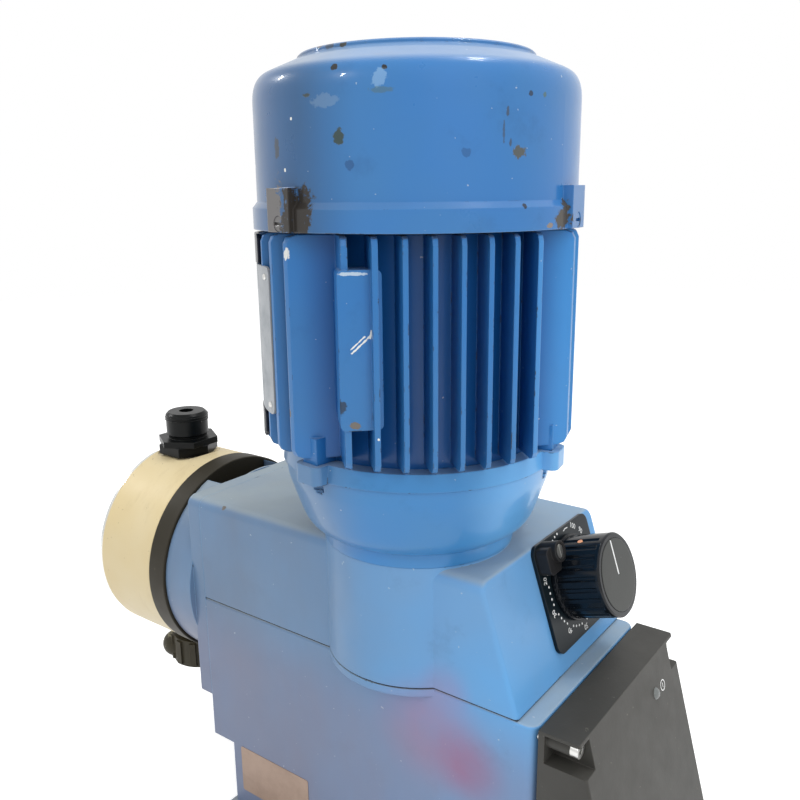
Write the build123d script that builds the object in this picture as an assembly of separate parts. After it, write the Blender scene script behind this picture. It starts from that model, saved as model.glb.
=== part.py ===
from build123d import *
import os
from math import acos, asin, atan2, cos, degrees, pi, radians, sin, sqrt, tan

# Motor-driven diaphragm metering pump, millimetres, +Z up.
# The origin is the middle of the four foot slots, on the underside of the foot.
# -X is the liquid end, +X the stroke knob and the control cover, -Y the front wall.

# ---------------------------------------------------------------- gear housing
SPLIT_Z = 122.0          # height of the joint between the two housing halves, and of the push rod
HOUSING_W = 98.0         # width of the housing across Y
HOUSING_LEFT_X = -92.4   # face that the lantern is bolted to
HOUSING_TOP_Z = 173.5    # flat top of the upper half
PANEL_FOOT_X = 81.7      # lower edge of the slanted knob panel, at the split
PANEL_HEAD_X = 64.9      # upper edge of the slanted knob panel, at the top
LOWER_RIGHT_X = 89.3     # face of the lower half that the control cover closes
BELLY_Z = 45.7           # underside of the lower half where it overhangs on the left
PEDESTAL_LEFT_X = -78.4  # left wall of the pedestal below the overhang
FOOT_TOP_Z = 12.0        # thickness of the foot plate
HOUSING_WALL = 5.0       # wall of both housing halves
EDGE_R = 5.0             # rounding of the long outer edges
CORNER_R = 3.0           # rounding of the upright corners
GASKET_T = 0.8           # thickness of the flat gasket between the halves
GASKET_INSET = 0.6       # how far the gasket stays behind the walls

# ---------------------------------------------------------------- foot
FOOT_LEFT_X = -82.0
FOOT_RIGHT_X = 82.0
FOOT_W = 128.0
FOOT_CORNER_R = 10.0
SLOT_PITCH_X = 130.0     # slot spacing along X
SLOT_PITCH_Y = 110.0     # slot spacing along Y
SLOT_W = 7.0
SLOT_L = 12.0

# ---------------------------------------------------------------- motor
MOTOR_X = 16.0           # motor axis
MOTOR_Y = -19.65
SEAT_R = 40.1            # round motor seat that bulges out of the front wall
SEAT_RISE = 1.0          # seat face above the housing top
SEAT_LIP = 4.0           # part of the seat that belongs to the lower half
SHIELD_STEP_Z = 211.1    # lower edge of the end shield's rim
SHIELD_TOP_Z = 217.9     # joint between end shield and stator housing
SHIELD_RIM_R = 54.0
SHIELD_STEP_R = 56.3
FRAME_L = 83.9           # length of the stator housing
FRAME_ROOT_R = 49.0      # stator housing between its fins
FRAME_BORE_R = 44.0
FIN_TIP_R = 62.9
FIN_PITCH = 9.7
FINS_PER_SIDE = 8
FIN_ROOT_T = 3.2
FIN_TIP_T = 1.6
FIN_END_R = 3.0          # rounding of each fin's ends
LUG_ANGLES = (-102.0, 7.0, 132.0)
LUG_W = 13.0
SHIELD_LUG_ANGLES = (-98.5, 11.0, 132.0)
SHIELD_LUG_R = 61.3
COWL_R = 62.0
SKIRT_R = 63.8
SKIRT_LIFT = 0.9         # gap between the fins and the cowl's skirt
SKIRT_H = 8.9
COWL_LUG_H = 14.9
COWL_LUG_OUT = 1.6       # lugs stand this far beyond the skirt
COWL_SCREW_SUNK = 1.8    # seat of the screws below the lugs' faces
LEDGE_H = 1.1            # half height of the sloping ledge above the skirt
COWL_H = 63.2            # rim of the cowl above the fins
SHOULDER_DROP = 17.5     # start of the rounded shoulder below the rim's top
SHOULDER_END_DROP = 6.9  # end of the shoulder below the rim's top
SHOULDER_END_R = 57.2
RIM_R = 44.9
RIM_H = 1.9              # upright rim round the grille
COWL_T = 2.2
SHAFT_R = 7.0
BEARING_OD = 32.0
BEARING_W = 9.0
FAN_R = 46.0
FAN_BLADES = 8
STATOR_R = 28.5
ROTOR_R = 28.0
STACK_LOW = 10.1         # stator stack behind the lower end of its housing
STACK_HIGH = 19.8        # and behind the upper end

# ---------------------------------------------------------------- worm drive
WORM_MODULE = 2.0
WORM_PITCH_R = 8.0
WHEEL_TEETH = 32
WHEEL_W = 9.0
GEAR_BACKLASH = 0.5      # room between thread and teeth, measured along the worm
WHEEL_SHAFT_R = 8.0
ECCENTRIC_R = 15.0
ECCENTRIC_OFFSET = 2.0   # half of the stroke
ECCENTRIC_W = 12.0
RUN_GAP = 0.05           # radial room of a running fit
REST_GAP = 0.3           # room between pieces that only face each other

# ---------------------------------------------------------------- liquid end
LANTERN_T = 8.6          # plate of the lantern
LANTERN_CORNER_R = 2.0   # lower corners of the plate
LANTERN_BOTTOM_Z = 67.0
FLANGE_R = 52.1
FLANGE_L = 17.5
BACKPLATE_R = 53.6
BACKPLATE_T = 11.8
HEAD_R = 53.2
VALVE_SETBACK = 26.7     # valve axis in front of the backplate
HEAD_NOSE = 14.3         # head's free face in front of the valve axis
COVER_DISC_T = 2.5
COVER_DISC_R = 52.6
ROD_R = 8.0
STROKE = 4.0
DIAPHRAGM_T = 3.0
DIAPHRAGM_R = 40.0
DIAPHRAGM_LAND = 1.5     # between the diaphragm's edge and the head's screws
HEAD_SCREWS = 6
VALVE_HEX = 28.0
VALVE_THREAD_R = 11.45   # G 5/8 A
VALVE_BORE_R = 4.0
BALL_R = 4.5
BALL_LIFT = 1.8
NUT_R = 18.5
NUT_H = 16.4

# ---------------------------------------------------------------- stroke knob
KNOB_Y = 14.3            # knob axis where it crosses the panel, across the panel
KNOB_S = 33.2            # and up the panel from its lower edge
KNOB_R = 17.5
KNOB_H = 21.2
KNOB_SKIRT_R = 18.3
KNOB_SKIRT_H = 1.8
KNOB_GAP = 0.4
KNOB_FLUTES = 24
DIAL_T = 1.6
DIAL_W = 51.0
DIAL_H = 46.5
DIAL_S = 31.4
SPINDLE_R = 4.0
KNOB_TURN = 360.0        # degrees from 0 to 100 percent

# ---------------------------------------------------------------- control cover
COVER_TOP_Z = 122.0
COVER_TOP_D = 17.2       # depth of the cover's flat top
COVER_BOTTOM_Z = 20.0
COVER_KINK_Z = 40.0
COVER_SLOPE = 14.8       # the front leans out by this many degrees
COVER_WALL = 3.0
COVER_GASKET_T = 1.0
POCKET = 13.0            # height of the screw pockets in the cover's corners
COVER_CUT = 50.0         # pockets are cut this far beyond the screws' heads
POCKET_D = 8.0           # and their depth

HALF_W = HOUSING_W / 2
SEAT_TOP_Z = HOUSING_TOP_Z + SEAT_RISE
PANEL_TILT = degrees(atan2(PANEL_FOOT_X - PANEL_HEAD_X, HOUSING_TOP_Z - SPLIT_Z))
LANTERN_X = HOUSING_LEFT_X - LANTERN_T
FLANGE_X = LANTERN_X - FLANGE_L
BACKPLATE_X = FLANGE_X - BACKPLATE_T
VALVE_X = BACKPLATE_X - VALVE_SETBACK
HEAD_L = VALVE_SETBACK + HEAD_NOSE
HEAD_X = BACKPLATE_X - HEAD_L
FRAME_TOP_Z = SHIELD_TOP_Z + FRAME_L
SKIRT_BOTTOM_Z = FRAME_TOP_Z + SKIRT_LIFT
SKIRT_TOP_Z = SKIRT_BOTTOM_Z + SKIRT_H
COWL_LUG_TOP_Z = SKIRT_BOTTOM_Z + COWL_LUG_H
RIM_TOP_Z = FRAME_TOP_Z + COWL_H
RIM_BASE_Z = RIM_TOP_Z - RIM_H
SHOULDER_Z = RIM_TOP_Z - SHOULDER_DROP
STACK_BOTTOM_Z = SHIELD_TOP_Z + STACK_LOW
STACK_TOP_Z = FRAME_TOP_Z - STACK_HIGH
WORM_PITCH = pi * WORM_MODULE
WHEEL_PITCH_R = WORM_MODULE * WHEEL_TEETH / 2
WHEEL_X = MOTOR_X - WORM_PITCH_R - WHEEL_PITCH_R
ROD_BACK_X = WHEEL_X - ECCENTRIC_R - ECCENTRIC_OFFSET - REST_GAP


# ---------------------------------------------------------------- helpers
def block(x0, x1, y0, y1, z0, z1):
    """A box given by its limits."""
    middle = Pos((x0 + x1) / 2, (y0 + y1) / 2, (z0 + z1) / 2)
    return middle * Box(x1 - x0, y1 - y0, z1 - z0)


def disc(r, z0, z1, x=0.0, y=0.0):
    """An upright cylinder."""
    return Pos(x, y, (z0 + z1) / 2) * Cylinder(r, z1 - z0)


def disc_x(r, x0, x1, y=0.0, z=0.0):
    """A cylinder along X."""
    return Pos((x0 + x1) / 2, y, z) * Rot(0, 90, 0) * Cylinder(r, x1 - x0)


def disc_y(r, y0, y1, x=0.0, z=0.0):
    """A cylinder along Y."""
    return Pos(x, (y0 + y1) / 2, z) * Rot(90, 0, 0) * Cylinder(r, y1 - y0)


def turned(points, x=0.0, y=0.0):
    """A turned part from (radius, height) points, on an upright axis."""
    face = make_face(Plane.XZ * Polyline(*points, close=True))
    return Pos(x, y, 0) * revolve(face, Axis.Z)


def turned_x(points, y=0.0, z=0.0):
    """A turned part from (radius, x) points, on an axis along X."""
    face = make_face(Plane.XZ * Polyline(*[(x, r) for r, x in points], close=True))
    return Pos(0, y, z) * revolve(face, Axis.X)


def around(angles, r, x=0.0, y=0.0):
    """Places on a circle about an upright axis, each turned to face outwards."""
    return [Pos(x, y, 0) * Rot(0, 0, a) * Pos(r, 0, 0) for a in angles]


def ring_angles(count, first=0.0):
    """Evenly spaced angles round a full turn."""
    return [first + 360.0 * i / count for i in range(count)]


def on_panel(s, lift=0.0, y=0.0):
    """A plane parallel to the slanted panel: s up its slope, lift away from it."""
    t = radians(PANEL_TILT)
    normal = Vector(cos(t), 0, sin(t))
    up = Vector(-sin(t), 0, cos(t))
    origin = Vector(PANEL_FOOT_X, y, SPLIT_Z) + up * s + normal * lift
    return Plane(origin=origin, x_dir=(0, 1, 0), z_dir=normal)


def extruded(plane, sketch, height):
    """A sketch on a plane, extruded along the plane's normal."""
    return extrude(plane * sketch, height)


def motor_disc(r, z0, z1):
    """A cylinder on the motor's axis."""
    return disc(r, z0, z1, MOTOR_X, MOTOR_Y)


def motor_turned(points):
    """A turned part on the motor's axis."""
    return turned(points, MOTOR_X, MOTOR_Y)


# ---------------------------------------------------------------- more sizes, by piece
SCREW_GAP = 0.1          # room round a screw in its hole
CAVITY_Y = HALF_W - HOUSING_WALL
CAVITY_LEFT_X = HOUSING_LEFT_X + 6.0
CAVITY_RIGHT_X = 74.0
CAVITY_FLOOR_Z = BELLY_Z + HOUSING_WALL
UPPER_Z = SPLIT_Z + GASKET_T / 2
LOWER_Z = SPLIT_Z - GASKET_T / 2
SPIGOT_R = 24.0          # turned spigots: motor in its seat
GUIDE_R = 22.0           # and lantern in the housing's left wall
WHEEL_BEARING_R = 14.0
WHEEL_BEARING_W = 8.0
BEARING_BOSS_R = 19.0
CLAMP_BOLT_R = 2.5       # M5 screws that hold the housing halves together
CLAMP_BOLTS = ((CAVITY_LEFT_X + 3.0, CAVITY_Y - 5.0), (CAVITY_RIGHT_X - 10.0, CAVITY_Y - 5.0))
CLAMP_COLUMN_R = 6.5
FOOT_SCREW_X = 52.0
FOOT_SCREW_Y = 30.0
FOOT_SCREW_R = 3.0
FOOT_SCREW_L = 20.0
FOOT_SOCKET_R = 2.4
BUSH_Z = 88.0            # worm's lower bush
BUSH_H = 10.0
BUSH_R = 9.0
WORM_TAIL_R = 5.0
WORM_H = 34.0
MOTOR_SCREW_PCD = 66.0   # screws between housing and motor
MOTOR_SCREW_R = 2.5
MOTOR_SCREW_L = 16.0
MOTOR_HEAD_R = 4.2
MOTOR_HEAD_H = 5.0
MOTOR_SOCKET_R = 2.0
LEDGE_R = 1.2
WORM_ROOT_R = 5.5
WORM_LEAD = atan2(WORM_MODULE, 2 * WORM_PITCH_R)
SHIELD_SCREW_R = 55.5
FIN_RISE = 2.2           # fins start this far above the end shield
SCREW_COLUMN_W = 8.0
SCREW_COLUMN_H = 8.0
SHIELD_HEAD_DEPTH = 3.4  # sunk heads of the end shield's screws
PAD_DROP = 11.0          # pad's upper end below the fins' upper ends
PAD_H = 55.6
PAD_TOP_Z = FRAME_TOP_Z - PAD_DROP
PAD_BOTTOM_Z = PAD_TOP_Z - PAD_H
PAD_MARGIN = 1.9         # pad stands this far beyond the two fins that carry it
LOWER_BEARING_Z = SEAT_TOP_Z + 9.0
UPPER_BEARING_Z = FRAME_TOP_Z - 12.0
HUB_R = 20.0             # upper end shield: hub round the bearing,
HUB_RISE = 7.0           # its height above the frame,
SPIGOT_H = 4.0           # and the step that fits the frame's bore
COWL_LUG_R = SKIRT_R + COWL_LUG_OUT
COWL_INNER_R = SKIRT_R - 2.5
COWL_SCREW_Z = SKIRT_BOTTOM_Z + 2.9
COWL_SCREW_HEAD_R = 2.7
GRILLE_DROP = 1.6        # grille below the rim's top
GRILLE_T = 2.0
FAN_Z = FRAME_TOP_Z + 14.2
FAN_ROOM = 5.0           # between the blades and the grille
FAN_HUB_R = 13.0
FAN_DISC_R = 34.0
FAN_DISC_T = 2.0
FAN_H = RIM_TOP_Z - GRILLE_DROP - GRILLE_T - FAN_ROOM - FAN_Z
GRILLE_RINGS = 3
GRILLE_HUB_R = 12.0
GRILLE_PITCH = 9.0
GRILLE_SLOT = 5.5
GRILLE_ARMS = 8
GRILLE_BAR = 3.5
BUSHING_R = 7.0
WINDOW_Y = 38.0          # recess in the lower half behind the control cover
WINDOW_TOP_Z = 112.0
WINDOW_BOTTOM_Z = 32.0
COVER_SCREW_R = 2.0
COVER_SCREW_Y = HALF_W - 4.6
COVER_SCREW_HEAD_X = LOWER_RIGHT_X + COVER_TOP_D - 4.3
COVER_SCREW_DROP = 4.9   # upper cover screws below the cover's top
COVER_SCREW_RISE = 6.0   # lower cover screws above the cover's bottom
LED_R = 2.6
LED_DROP = 15.0
LED_Y = 21.4
GLAND_R = 6.0
GLAND_BORE_R = 3.5
GLAND_X = LOWER_RIGHT_X + 13.0
GLAND_Z = (78.0, 55.0)
YOKE_T = 5.0
SPRING_SEAT_R = 15.0
SPRING_R = 13.0
SPRING_WIRE_R = 1.2
SPRING_TURNS = 6
CORE_R = 18.0
CORE_T = 5.0
CORE_X = BACKPLATE_X + DIAPHRAGM_T
LANTERN_WINDOW = 41.0
LANTERN_SCREW_Y = 41.0
LANTERN_SCREW_Z = (LANTERN_BOTTOM_Z + 9.0, HOUSING_TOP_Z - 7.0)
LANTERN_SCREWS = [(side * LANTERN_SCREW_Y, z) for z in LANTERN_SCREW_Z for side in (1, -1)]
HEAD_SCREW_R = 2.5
HEAD_SCREW_PCD = 2 * (DIAPHRAGM_R + HEAD_SCREW_R + DIAPHRAGM_LAND)
FLANGE_BORE_IN = 0.9     # flange's bore inside the circle of the head's screws
FLANGE_BORE_R = HEAD_SCREW_PCD / 2 - FLANGE_BORE_IN
LANTERN_SCREW_L = 9.8
VALVE_FLAT = 51.3        # flats on the head for the valves, from its axis
VALVE_TAIL = 16.0
VALVE_HEX_H = 6.0
VALVE_PORT_R = 3.5
TAIL_R = 9.4
CHAMBER_R = 7.0
CHAMBER_H = 14.0
SEAT_H = 4.0
BALL_SEAT_R = 3.4
SEAL_T = 1.0
VALVE_TOP_Z = 197.5
DISCHARGE_SEAT_Z = SPLIT_Z + VALVE_FLAT - VALVE_TAIL
SUCTION_SEAT_Z = SPLIT_Z - VALVE_FLAT + VALVE_TAIL - CHAMBER_H + 0.01
NUT_TOP_GAP = 1.0        # between the union nut and the valve's hexagon
NUT_LOW_Z = SPLIT_Z - VALVE_FLAT - SEAL_T - VALVE_HEX_H - NUT_TOP_GAP - NUT_H
SUCTION_END_Z = NUT_LOW_Z + 8.5
WING_R = 7.6             # rounded wings of the union nut
WING_AT = 16.0
INSERT_R = 8.0
KNOB_HUB_R = 7.5
KNOB_CAP_R = 15.0
SPINDLE_REACH = 66.0
CLAMP_Y = -4.4           # lock beside the knob, across the panel
CLAMP_S = 47.7           # and up the panel
CLAMP_BOSS_Y = -2.4
CLAMP_BOSS_S = 50.2
BOARD_DROP = 5.0         # circuit board behind the housing's right face
BOARD_T = 1.6
BOARD_EDGE = 3.0
BOARD_FOOT_R = 3.0
BOARD_FOOT_IN = 9.0
RELAY = (14.0, 9.4, 52.0, 66.0)      # half width, height, lower and upper end
CHOKE = (-30.0, -20.0, 12.4, 46.0, 76.0)
BELLOWS_STEP = 0.8
CLAMP_H = 7.5
PLATE_SCREWS = ()


def both_sides(places):
    """The same places at +Y and -Y."""
    return [(x, side * y) for x, y in places for side in (1, -1)]


def screw(r, head_r, head_h, length, socket_r):
    """A socket-head screw: the head stands on z = 0, the shank points down."""
    body = disc(head_r, 0, head_h) + disc(r, -length, 0)
    socket = Pos(0, 0, head_h) * Cylinder(socket_r, head_h, align=(Align.CENTER,) * 3)
    return body - socket


# ---------------------------------------------------------------- gear housing
def upper_outline(inset):
    """Side view of the upper half, moved inwards by inset."""
    t = radians(PANEL_TILT)
    slant = inset / cos(t)
    foot_x = PANEL_FOOT_X - slant - (UPPER_Z - SPLIT_Z) * tan(t)
    top_z = HOUSING_TOP_Z - inset
    head_x = PANEL_FOOT_X - slant - (top_z - SPLIT_Z) * tan(t)
    left = HOUSING_LEFT_X if inset == 0 else CAVITY_LEFT_X
    return [(left, UPPER_Z), (foot_x, UPPER_Z), (head_x, top_z), (left, top_z)]


def prism_y(points, half):
    """A side view in (x, z) points, extruded to both sides of the middle plane."""
    face = make_face(Plane.XZ * Polyline(*points, close=True))
    return extrude(face, half, both=True)


def guide_bore():
    """Hole for the lantern's spigot, on the push rod's axis, with its screw holes."""
    end = LANTERN_X + 4 + LANTERN_SCREW_L
    holes = [disc_x(HEAD_SCREW_R + SCREW_GAP, HOUSING_LEFT_X - 1, end, y, z) for y, z in LANTERN_SCREWS]
    return [disc_x(GUIDE_R, HOUSING_LEFT_X - 1, CAVITY_LEFT_X + 1, 0, SPLIT_Z)] + holes


def wheel_bosses():
    """Bosses on both walls that carry the wheel shaft's bearings."""
    inner = CAVITY_Y - WHEEL_BEARING_W
    return [disc_y(BEARING_BOSS_R, a, b, WHEEL_X, SPLIT_Z)
            for a, b in ((-CAVITY_Y, -inner), (inner, CAVITY_Y))]


def wheel_bearing_bores():
    inner = CAVITY_Y - WHEEL_BEARING_W
    return [disc_y(WHEEL_BEARING_R, a, b, WHEEL_X, SPLIT_Z)
            for a, b in ((-CAVITY_Y, -inner + 1), (inner - 1, CAVITY_Y))]


def gear_housing_upper():
    body = prism_y(upper_outline(0), HALF_W)
    top_edges = body.edges().filter_by(Axis.X).group_by(Axis.Z)[-1]
    body = fillet(top_edges, EDGE_R)
    brow = body.edges().filter_by(Axis.Y).filter_by(lambda e: e.center().X > 0).group_by(Axis.Z)[-1]
    body = fillet(brow, 2.0)
    body -= prism_y(upper_outline(HOUSING_WALL), CAVITY_Y)
    seat = motor_disc(SEAT_R, UPPER_Z, SEAT_TOP_Z)
    inside = block(CAVITY_LEFT_X, CAVITY_RIGHT_X, -CAVITY_Y, CAVITY_Y, 0, HOUSING_TOP_Z - HOUSING_WALL)
    body += seat - inside
    halfspace = block(HOUSING_LEFT_X, PANEL_FOOT_X, -HALF_W, HALF_W, UPPER_Z, HOUSING_TOP_Z)
    for boss in wheel_bosses():
        body += boss & halfspace
    for x, y in both_sides(CLAMP_BOLTS):
        body += disc(CLAMP_COLUMN_R, UPPER_Z, UPPER_Z + 20, x, y) & halfspace
        body -= disc(CLAMP_BOLT_R + SCREW_GAP, UPPER_Z, UPPER_Z + 16, x, y)
    body -= motor_disc(SPIGOT_R, UPPER_Z - 1, SEAT_TOP_Z + 1)
    for place in around((45, 135, 225, 315), MOTOR_SCREW_PCD / 2, MOTOR_X, MOTOR_Y):
        body -= place * disc(MOTOR_SCREW_R + SCREW_GAP, UPPER_Z, SEAT_TOP_Z + 1)
        body -= place * disc(MOTOR_SCREW_R * 2, UPPER_Z - 1, HOUSING_TOP_Z - HOUSING_WALL)
    for bore in wheel_bearing_bores():
        body -= bore
    body -= Compound(guide_bore())
    body -= extruded(on_panel(KNOB_S, -HOUSING_WALL - 2, KNOB_Y), Circle(BUSHING_R), HOUSING_WALL + 3)
    return body


def gear_housing_lower():
    outline = [(HOUSING_LEFT_X, LOWER_Z), (LOWER_RIGHT_X, LOWER_Z), (LOWER_RIGHT_X, FOOT_TOP_Z),
               (PEDESTAL_LEFT_X, FOOT_TOP_Z), (PEDESTAL_LEFT_X, BELLY_Z), (HOUSING_LEFT_X, BELLY_Z)]
    body = prism_y(outline, HALF_W)
    upright = body.edges().filter_by(Axis.Z)
    right = upright.filter_by(lambda e: e.center().X > LOWER_RIGHT_X - 1)
    body = fillet(right, EDGE_R)
    ledge = body.edges().filter_by(lambda e: e.center().X > PANEL_FOOT_X + 2).group_by(Axis.Z)[-1]
    body = fillet(ledge, LEDGE_R)
    lip = motor_disc(SEAT_R, LOWER_Z - SEAT_LIP, LOWER_Z)
    lip = fillet(lip.edges().group_by(Axis.Z)[0], 1.5)
    body += lip
    body -= block(CAVITY_LEFT_X, CAVITY_RIGHT_X, -CAVITY_Y, CAVITY_Y, CAVITY_FLOOR_Z, SPLIT_Z + 1)
    body -= block(PEDESTAL_LEFT_X + HOUSING_WALL, CAVITY_RIGHT_X, -CAVITY_Y, CAVITY_Y,
                  FOOT_TOP_Z - 1, BELLY_Z)
    body -= block(LOWER_RIGHT_X - 8, LOWER_RIGHT_X + 1, -WINDOW_Y, WINDOW_Y, WINDOW_BOTTOM_Z, WINDOW_TOP_Z)
    halfspace = block(HOUSING_LEFT_X, LOWER_RIGHT_X, -HALF_W, HALF_W, CAVITY_FLOOR_Z, LOWER_Z)
    for boss in wheel_bosses():
        body += boss & halfspace
    for x, y in both_sides(CLAMP_BOLTS):
        body += disc(CLAMP_COLUMN_R, CAVITY_FLOOR_Z, LOWER_Z, x, y) & halfspace
        body -= disc(CLAMP_BOLT_R + SCREW_GAP, BELLY_Z - 1, LOWER_Z + 1, x, y)
    arm = motor_disc(BUSH_R + HOUSING_WALL, BUSH_Z, BUSH_Z + BUSH_H)
    arm += block(MOTOR_X - BUSH_R, MOTOR_X + BUSH_R, -CAVITY_Y, MOTOR_Y, BUSH_Z, BUSH_Z + BUSH_H)
    body += arm
    body -= motor_disc(BUSH_R, BUSH_Z - 1, BUSH_Z + BUSH_H + 1)
    for x in (-FOOT_SCREW_X, FOOT_SCREW_X):
        for y in (-FOOT_SCREW_Y, FOOT_SCREW_Y):
            body += disc(FOOT_SCREW_R + 4, FOOT_TOP_Z, BELLY_Z, x, y)
            body -= disc(FOOT_SCREW_R + SCREW_GAP, FOOT_TOP_Z - 1, FOOT_TOP_Z + 16, x, y)
    for bore in wheel_bearing_bores():
        body -= bore
    body -= Compound(guide_bore())
    for y, z in cover_screw_places():
        body -= disc_x(COVER_SCREW_R + SCREW_GAP, LOWER_RIGHT_X - 12, LOWER_RIGHT_X + 1, y, z)
    return body


def housing_gasket():
    inset = GASKET_INSET
    body = block(HOUSING_LEFT_X, PANEL_FOOT_X - inset, -HALF_W + inset, HALF_W - inset, LOWER_Z, UPPER_Z)
    body += motor_disc(SEAT_R - inset, LOWER_Z, UPPER_Z)
    body -= block(CAVITY_LEFT_X, CAVITY_RIGHT_X, -CAVITY_Y, CAVITY_Y, LOWER_Z - 1, UPPER_Z + 1)
    for x, y in both_sides(CLAMP_BOLTS):
        column = disc(CLAMP_COLUMN_R, LOWER_Z, UPPER_Z, x, y)
        body += column & block(CAVITY_LEFT_X, CAVITY_RIGHT_X, -CAVITY_Y, CAVITY_Y, LOWER_Z, UPPER_Z)
        body -= disc(CLAMP_BOLT_R + SCREW_GAP, LOWER_Z - 1, UPPER_Z + 1, x, y)
    for place in around((225, 315), MOTOR_SCREW_PCD / 2, MOTOR_X, MOTOR_Y):
        body -= place * disc(MOTOR_SCREW_R * 2, LOWER_Z - 1, UPPER_Z + 1)
    body -= motor_disc(SPIGOT_R, LOWER_Z - 1, UPPER_Z + 1)
    body -= Compound(guide_bore())
    return body


def housing_screws():
    """Long screws from below, through the lower half into the upper one."""
    length = UPPER_Z + 14 - BELLY_Z
    one = Rot(180, 0, 0) * screw(CLAMP_BOLT_R, 4.2, 5.0, length, 2.0)
    return Compound([Pos(x, y, BELLY_Z) * one for x, y in both_sides(CLAMP_BOLTS)])


def base_foot():
    plan = Pos((FOOT_LEFT_X + FOOT_RIGHT_X) / 2, 0, 0) * Box(
        FOOT_RIGHT_X - FOOT_LEFT_X, FOOT_W, FOOT_TOP_Z, align=(Align.CENTER, Align.CENTER, Align.MIN))
    plan = fillet(plan.edges().filter_by(Axis.Z), FOOT_CORNER_R)
    plan = fillet(plan.faces().sort_by(Axis.Z)[-1].edges(), 2.0)
    for x in (-SLOT_PITCH_X / 2, SLOT_PITCH_X / 2):
        for y in (-SLOT_PITCH_Y / 2, SLOT_PITCH_Y / 2):
            plan -= Pos(x, y, -1) * extrude(SlotOverall(SLOT_L, SLOT_W), FOOT_TOP_Z + 2)
    for x in (-FOOT_SCREW_X, FOOT_SCREW_X):
        for y in (-FOOT_SCREW_Y, FOOT_SCREW_Y):
            plan -= disc(FOOT_SCREW_R + SCREW_GAP, -1, FOOT_TOP_Z + 1, x, y)
            plan -= disc(FOOT_SCREW_R * 2, -1, FOOT_SCREW_R * 2 + 0.5, x, y)
    plan -= block(-FOOT_SCREW_X + 16, FOOT_SCREW_X - 16, -FOOT_SCREW_Y, FOOT_SCREW_Y, -1, 4)
    return plan


def base_screws():
    one = Rot(180, 0, 0) * screw(FOOT_SCREW_R, FOOT_SCREW_R * 1.7, FOOT_SCREW_R * 2, FOOT_SCREW_L, FOOT_SOCKET_R)
    at = FOOT_SCREW_R * 2 + 0.5
    return Compound([Pos(x, y, at) * one
                     for x in (-FOOT_SCREW_X, FOOT_SCREW_X) for y in (-FOOT_SCREW_Y, FOOT_SCREW_Y)])


# ---------------------------------------------------------------- motor
def on_frame(angles, r):
    return around(angles, r, MOTOR_X, MOTOR_Y)


def frame_section():
    """Plan of the stator housing: a ring with parallel fins in four directions."""
    first = -(FINS_PER_SIDE - 1) / 2
    plan = Circle(FRAME_ROOT_R)
    for i in range(FINS_PER_SIDE):
        y = (first + i) * FIN_PITCH
        root = sqrt(FRAME_ROOT_R ** 2 - y ** 2) - 4
        tip = FIN_TIP_R + 1
        fin = make_face(Polyline((root, y - FIN_ROOT_T / 2), (tip, y - FIN_TIP_T / 2),
                                 (tip, y + FIN_TIP_T / 2), (root, y + FIN_ROOT_T / 2), close=True))
        for quarter in (45, 135, 225, 315):
            plan += Rot(0, 0, quarter) * fin
    return plan


def motor_housing():
    bottom = SHIELD_TOP_Z
    fin_bottom = bottom + FIN_RISE
    fins = Pos(MOTOR_X, MOTOR_Y, fin_bottom) * extrude(frame_section(), FRAME_TOP_Z - fin_bottom)
    r, e = FIN_TIP_R, FIN_END_R
    envelope = motor_turned([(0, fin_bottom), (r - e, fin_bottom), (r - 0.3 * e, fin_bottom + 0.3 * e),
                             (r, fin_bottom + e), (r, FRAME_TOP_Z - e),
                             (r - 0.3 * e, FRAME_TOP_Z - 0.3 * e), (r - e, FRAME_TOP_Z), (0, FRAME_TOP_Z)])
    body = fins & envelope
    body += motor_disc(FRAME_ROOT_R, bottom, fin_bottom)
    for place in on_frame(SHIELD_LUG_ANGLES, 0):
        body += place * block(FRAME_ROOT_R - 3, SHIELD_SCREW_R + 3, -SCREW_COLUMN_W / 2, SCREW_COLUMN_W / 2,
                              bottom, fin_bottom + SCREW_COLUMN_H)
    body += fin_pad()
    body -= motor_disc(FRAME_BORE_R, bottom - 1, FRAME_TOP_Z + 1)
    for place in on_frame(SHIELD_LUG_ANGLES, SHIELD_SCREW_R):
        body -= place * disc(2.0 + SCREW_GAP, bottom - 1, fin_bottom + SCREW_COLUMN_H - 2)
    return body


def fin_pad():
    """Raised cast pad between the first two front fins."""
    first = -(FINS_PER_SIDE - 1) / 2 * FIN_PITCH
    second = first + FIN_PITCH
    reach = sqrt(FIN_TIP_R ** 2 - first ** 2)
    side = FIN_TIP_T / 2 + PAD_MARGIN
    bar = block(reach - 12, reach + 1.2, first - side, second + side, PAD_BOTTOM_Z, PAD_TOP_Z)
    bar = fillet(bar.edges().filter_by(Axis.X), 2.0)
    return Pos(MOTOR_X, MOTOR_Y, 0) * Rot(0, 0, -45) * bar


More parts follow.
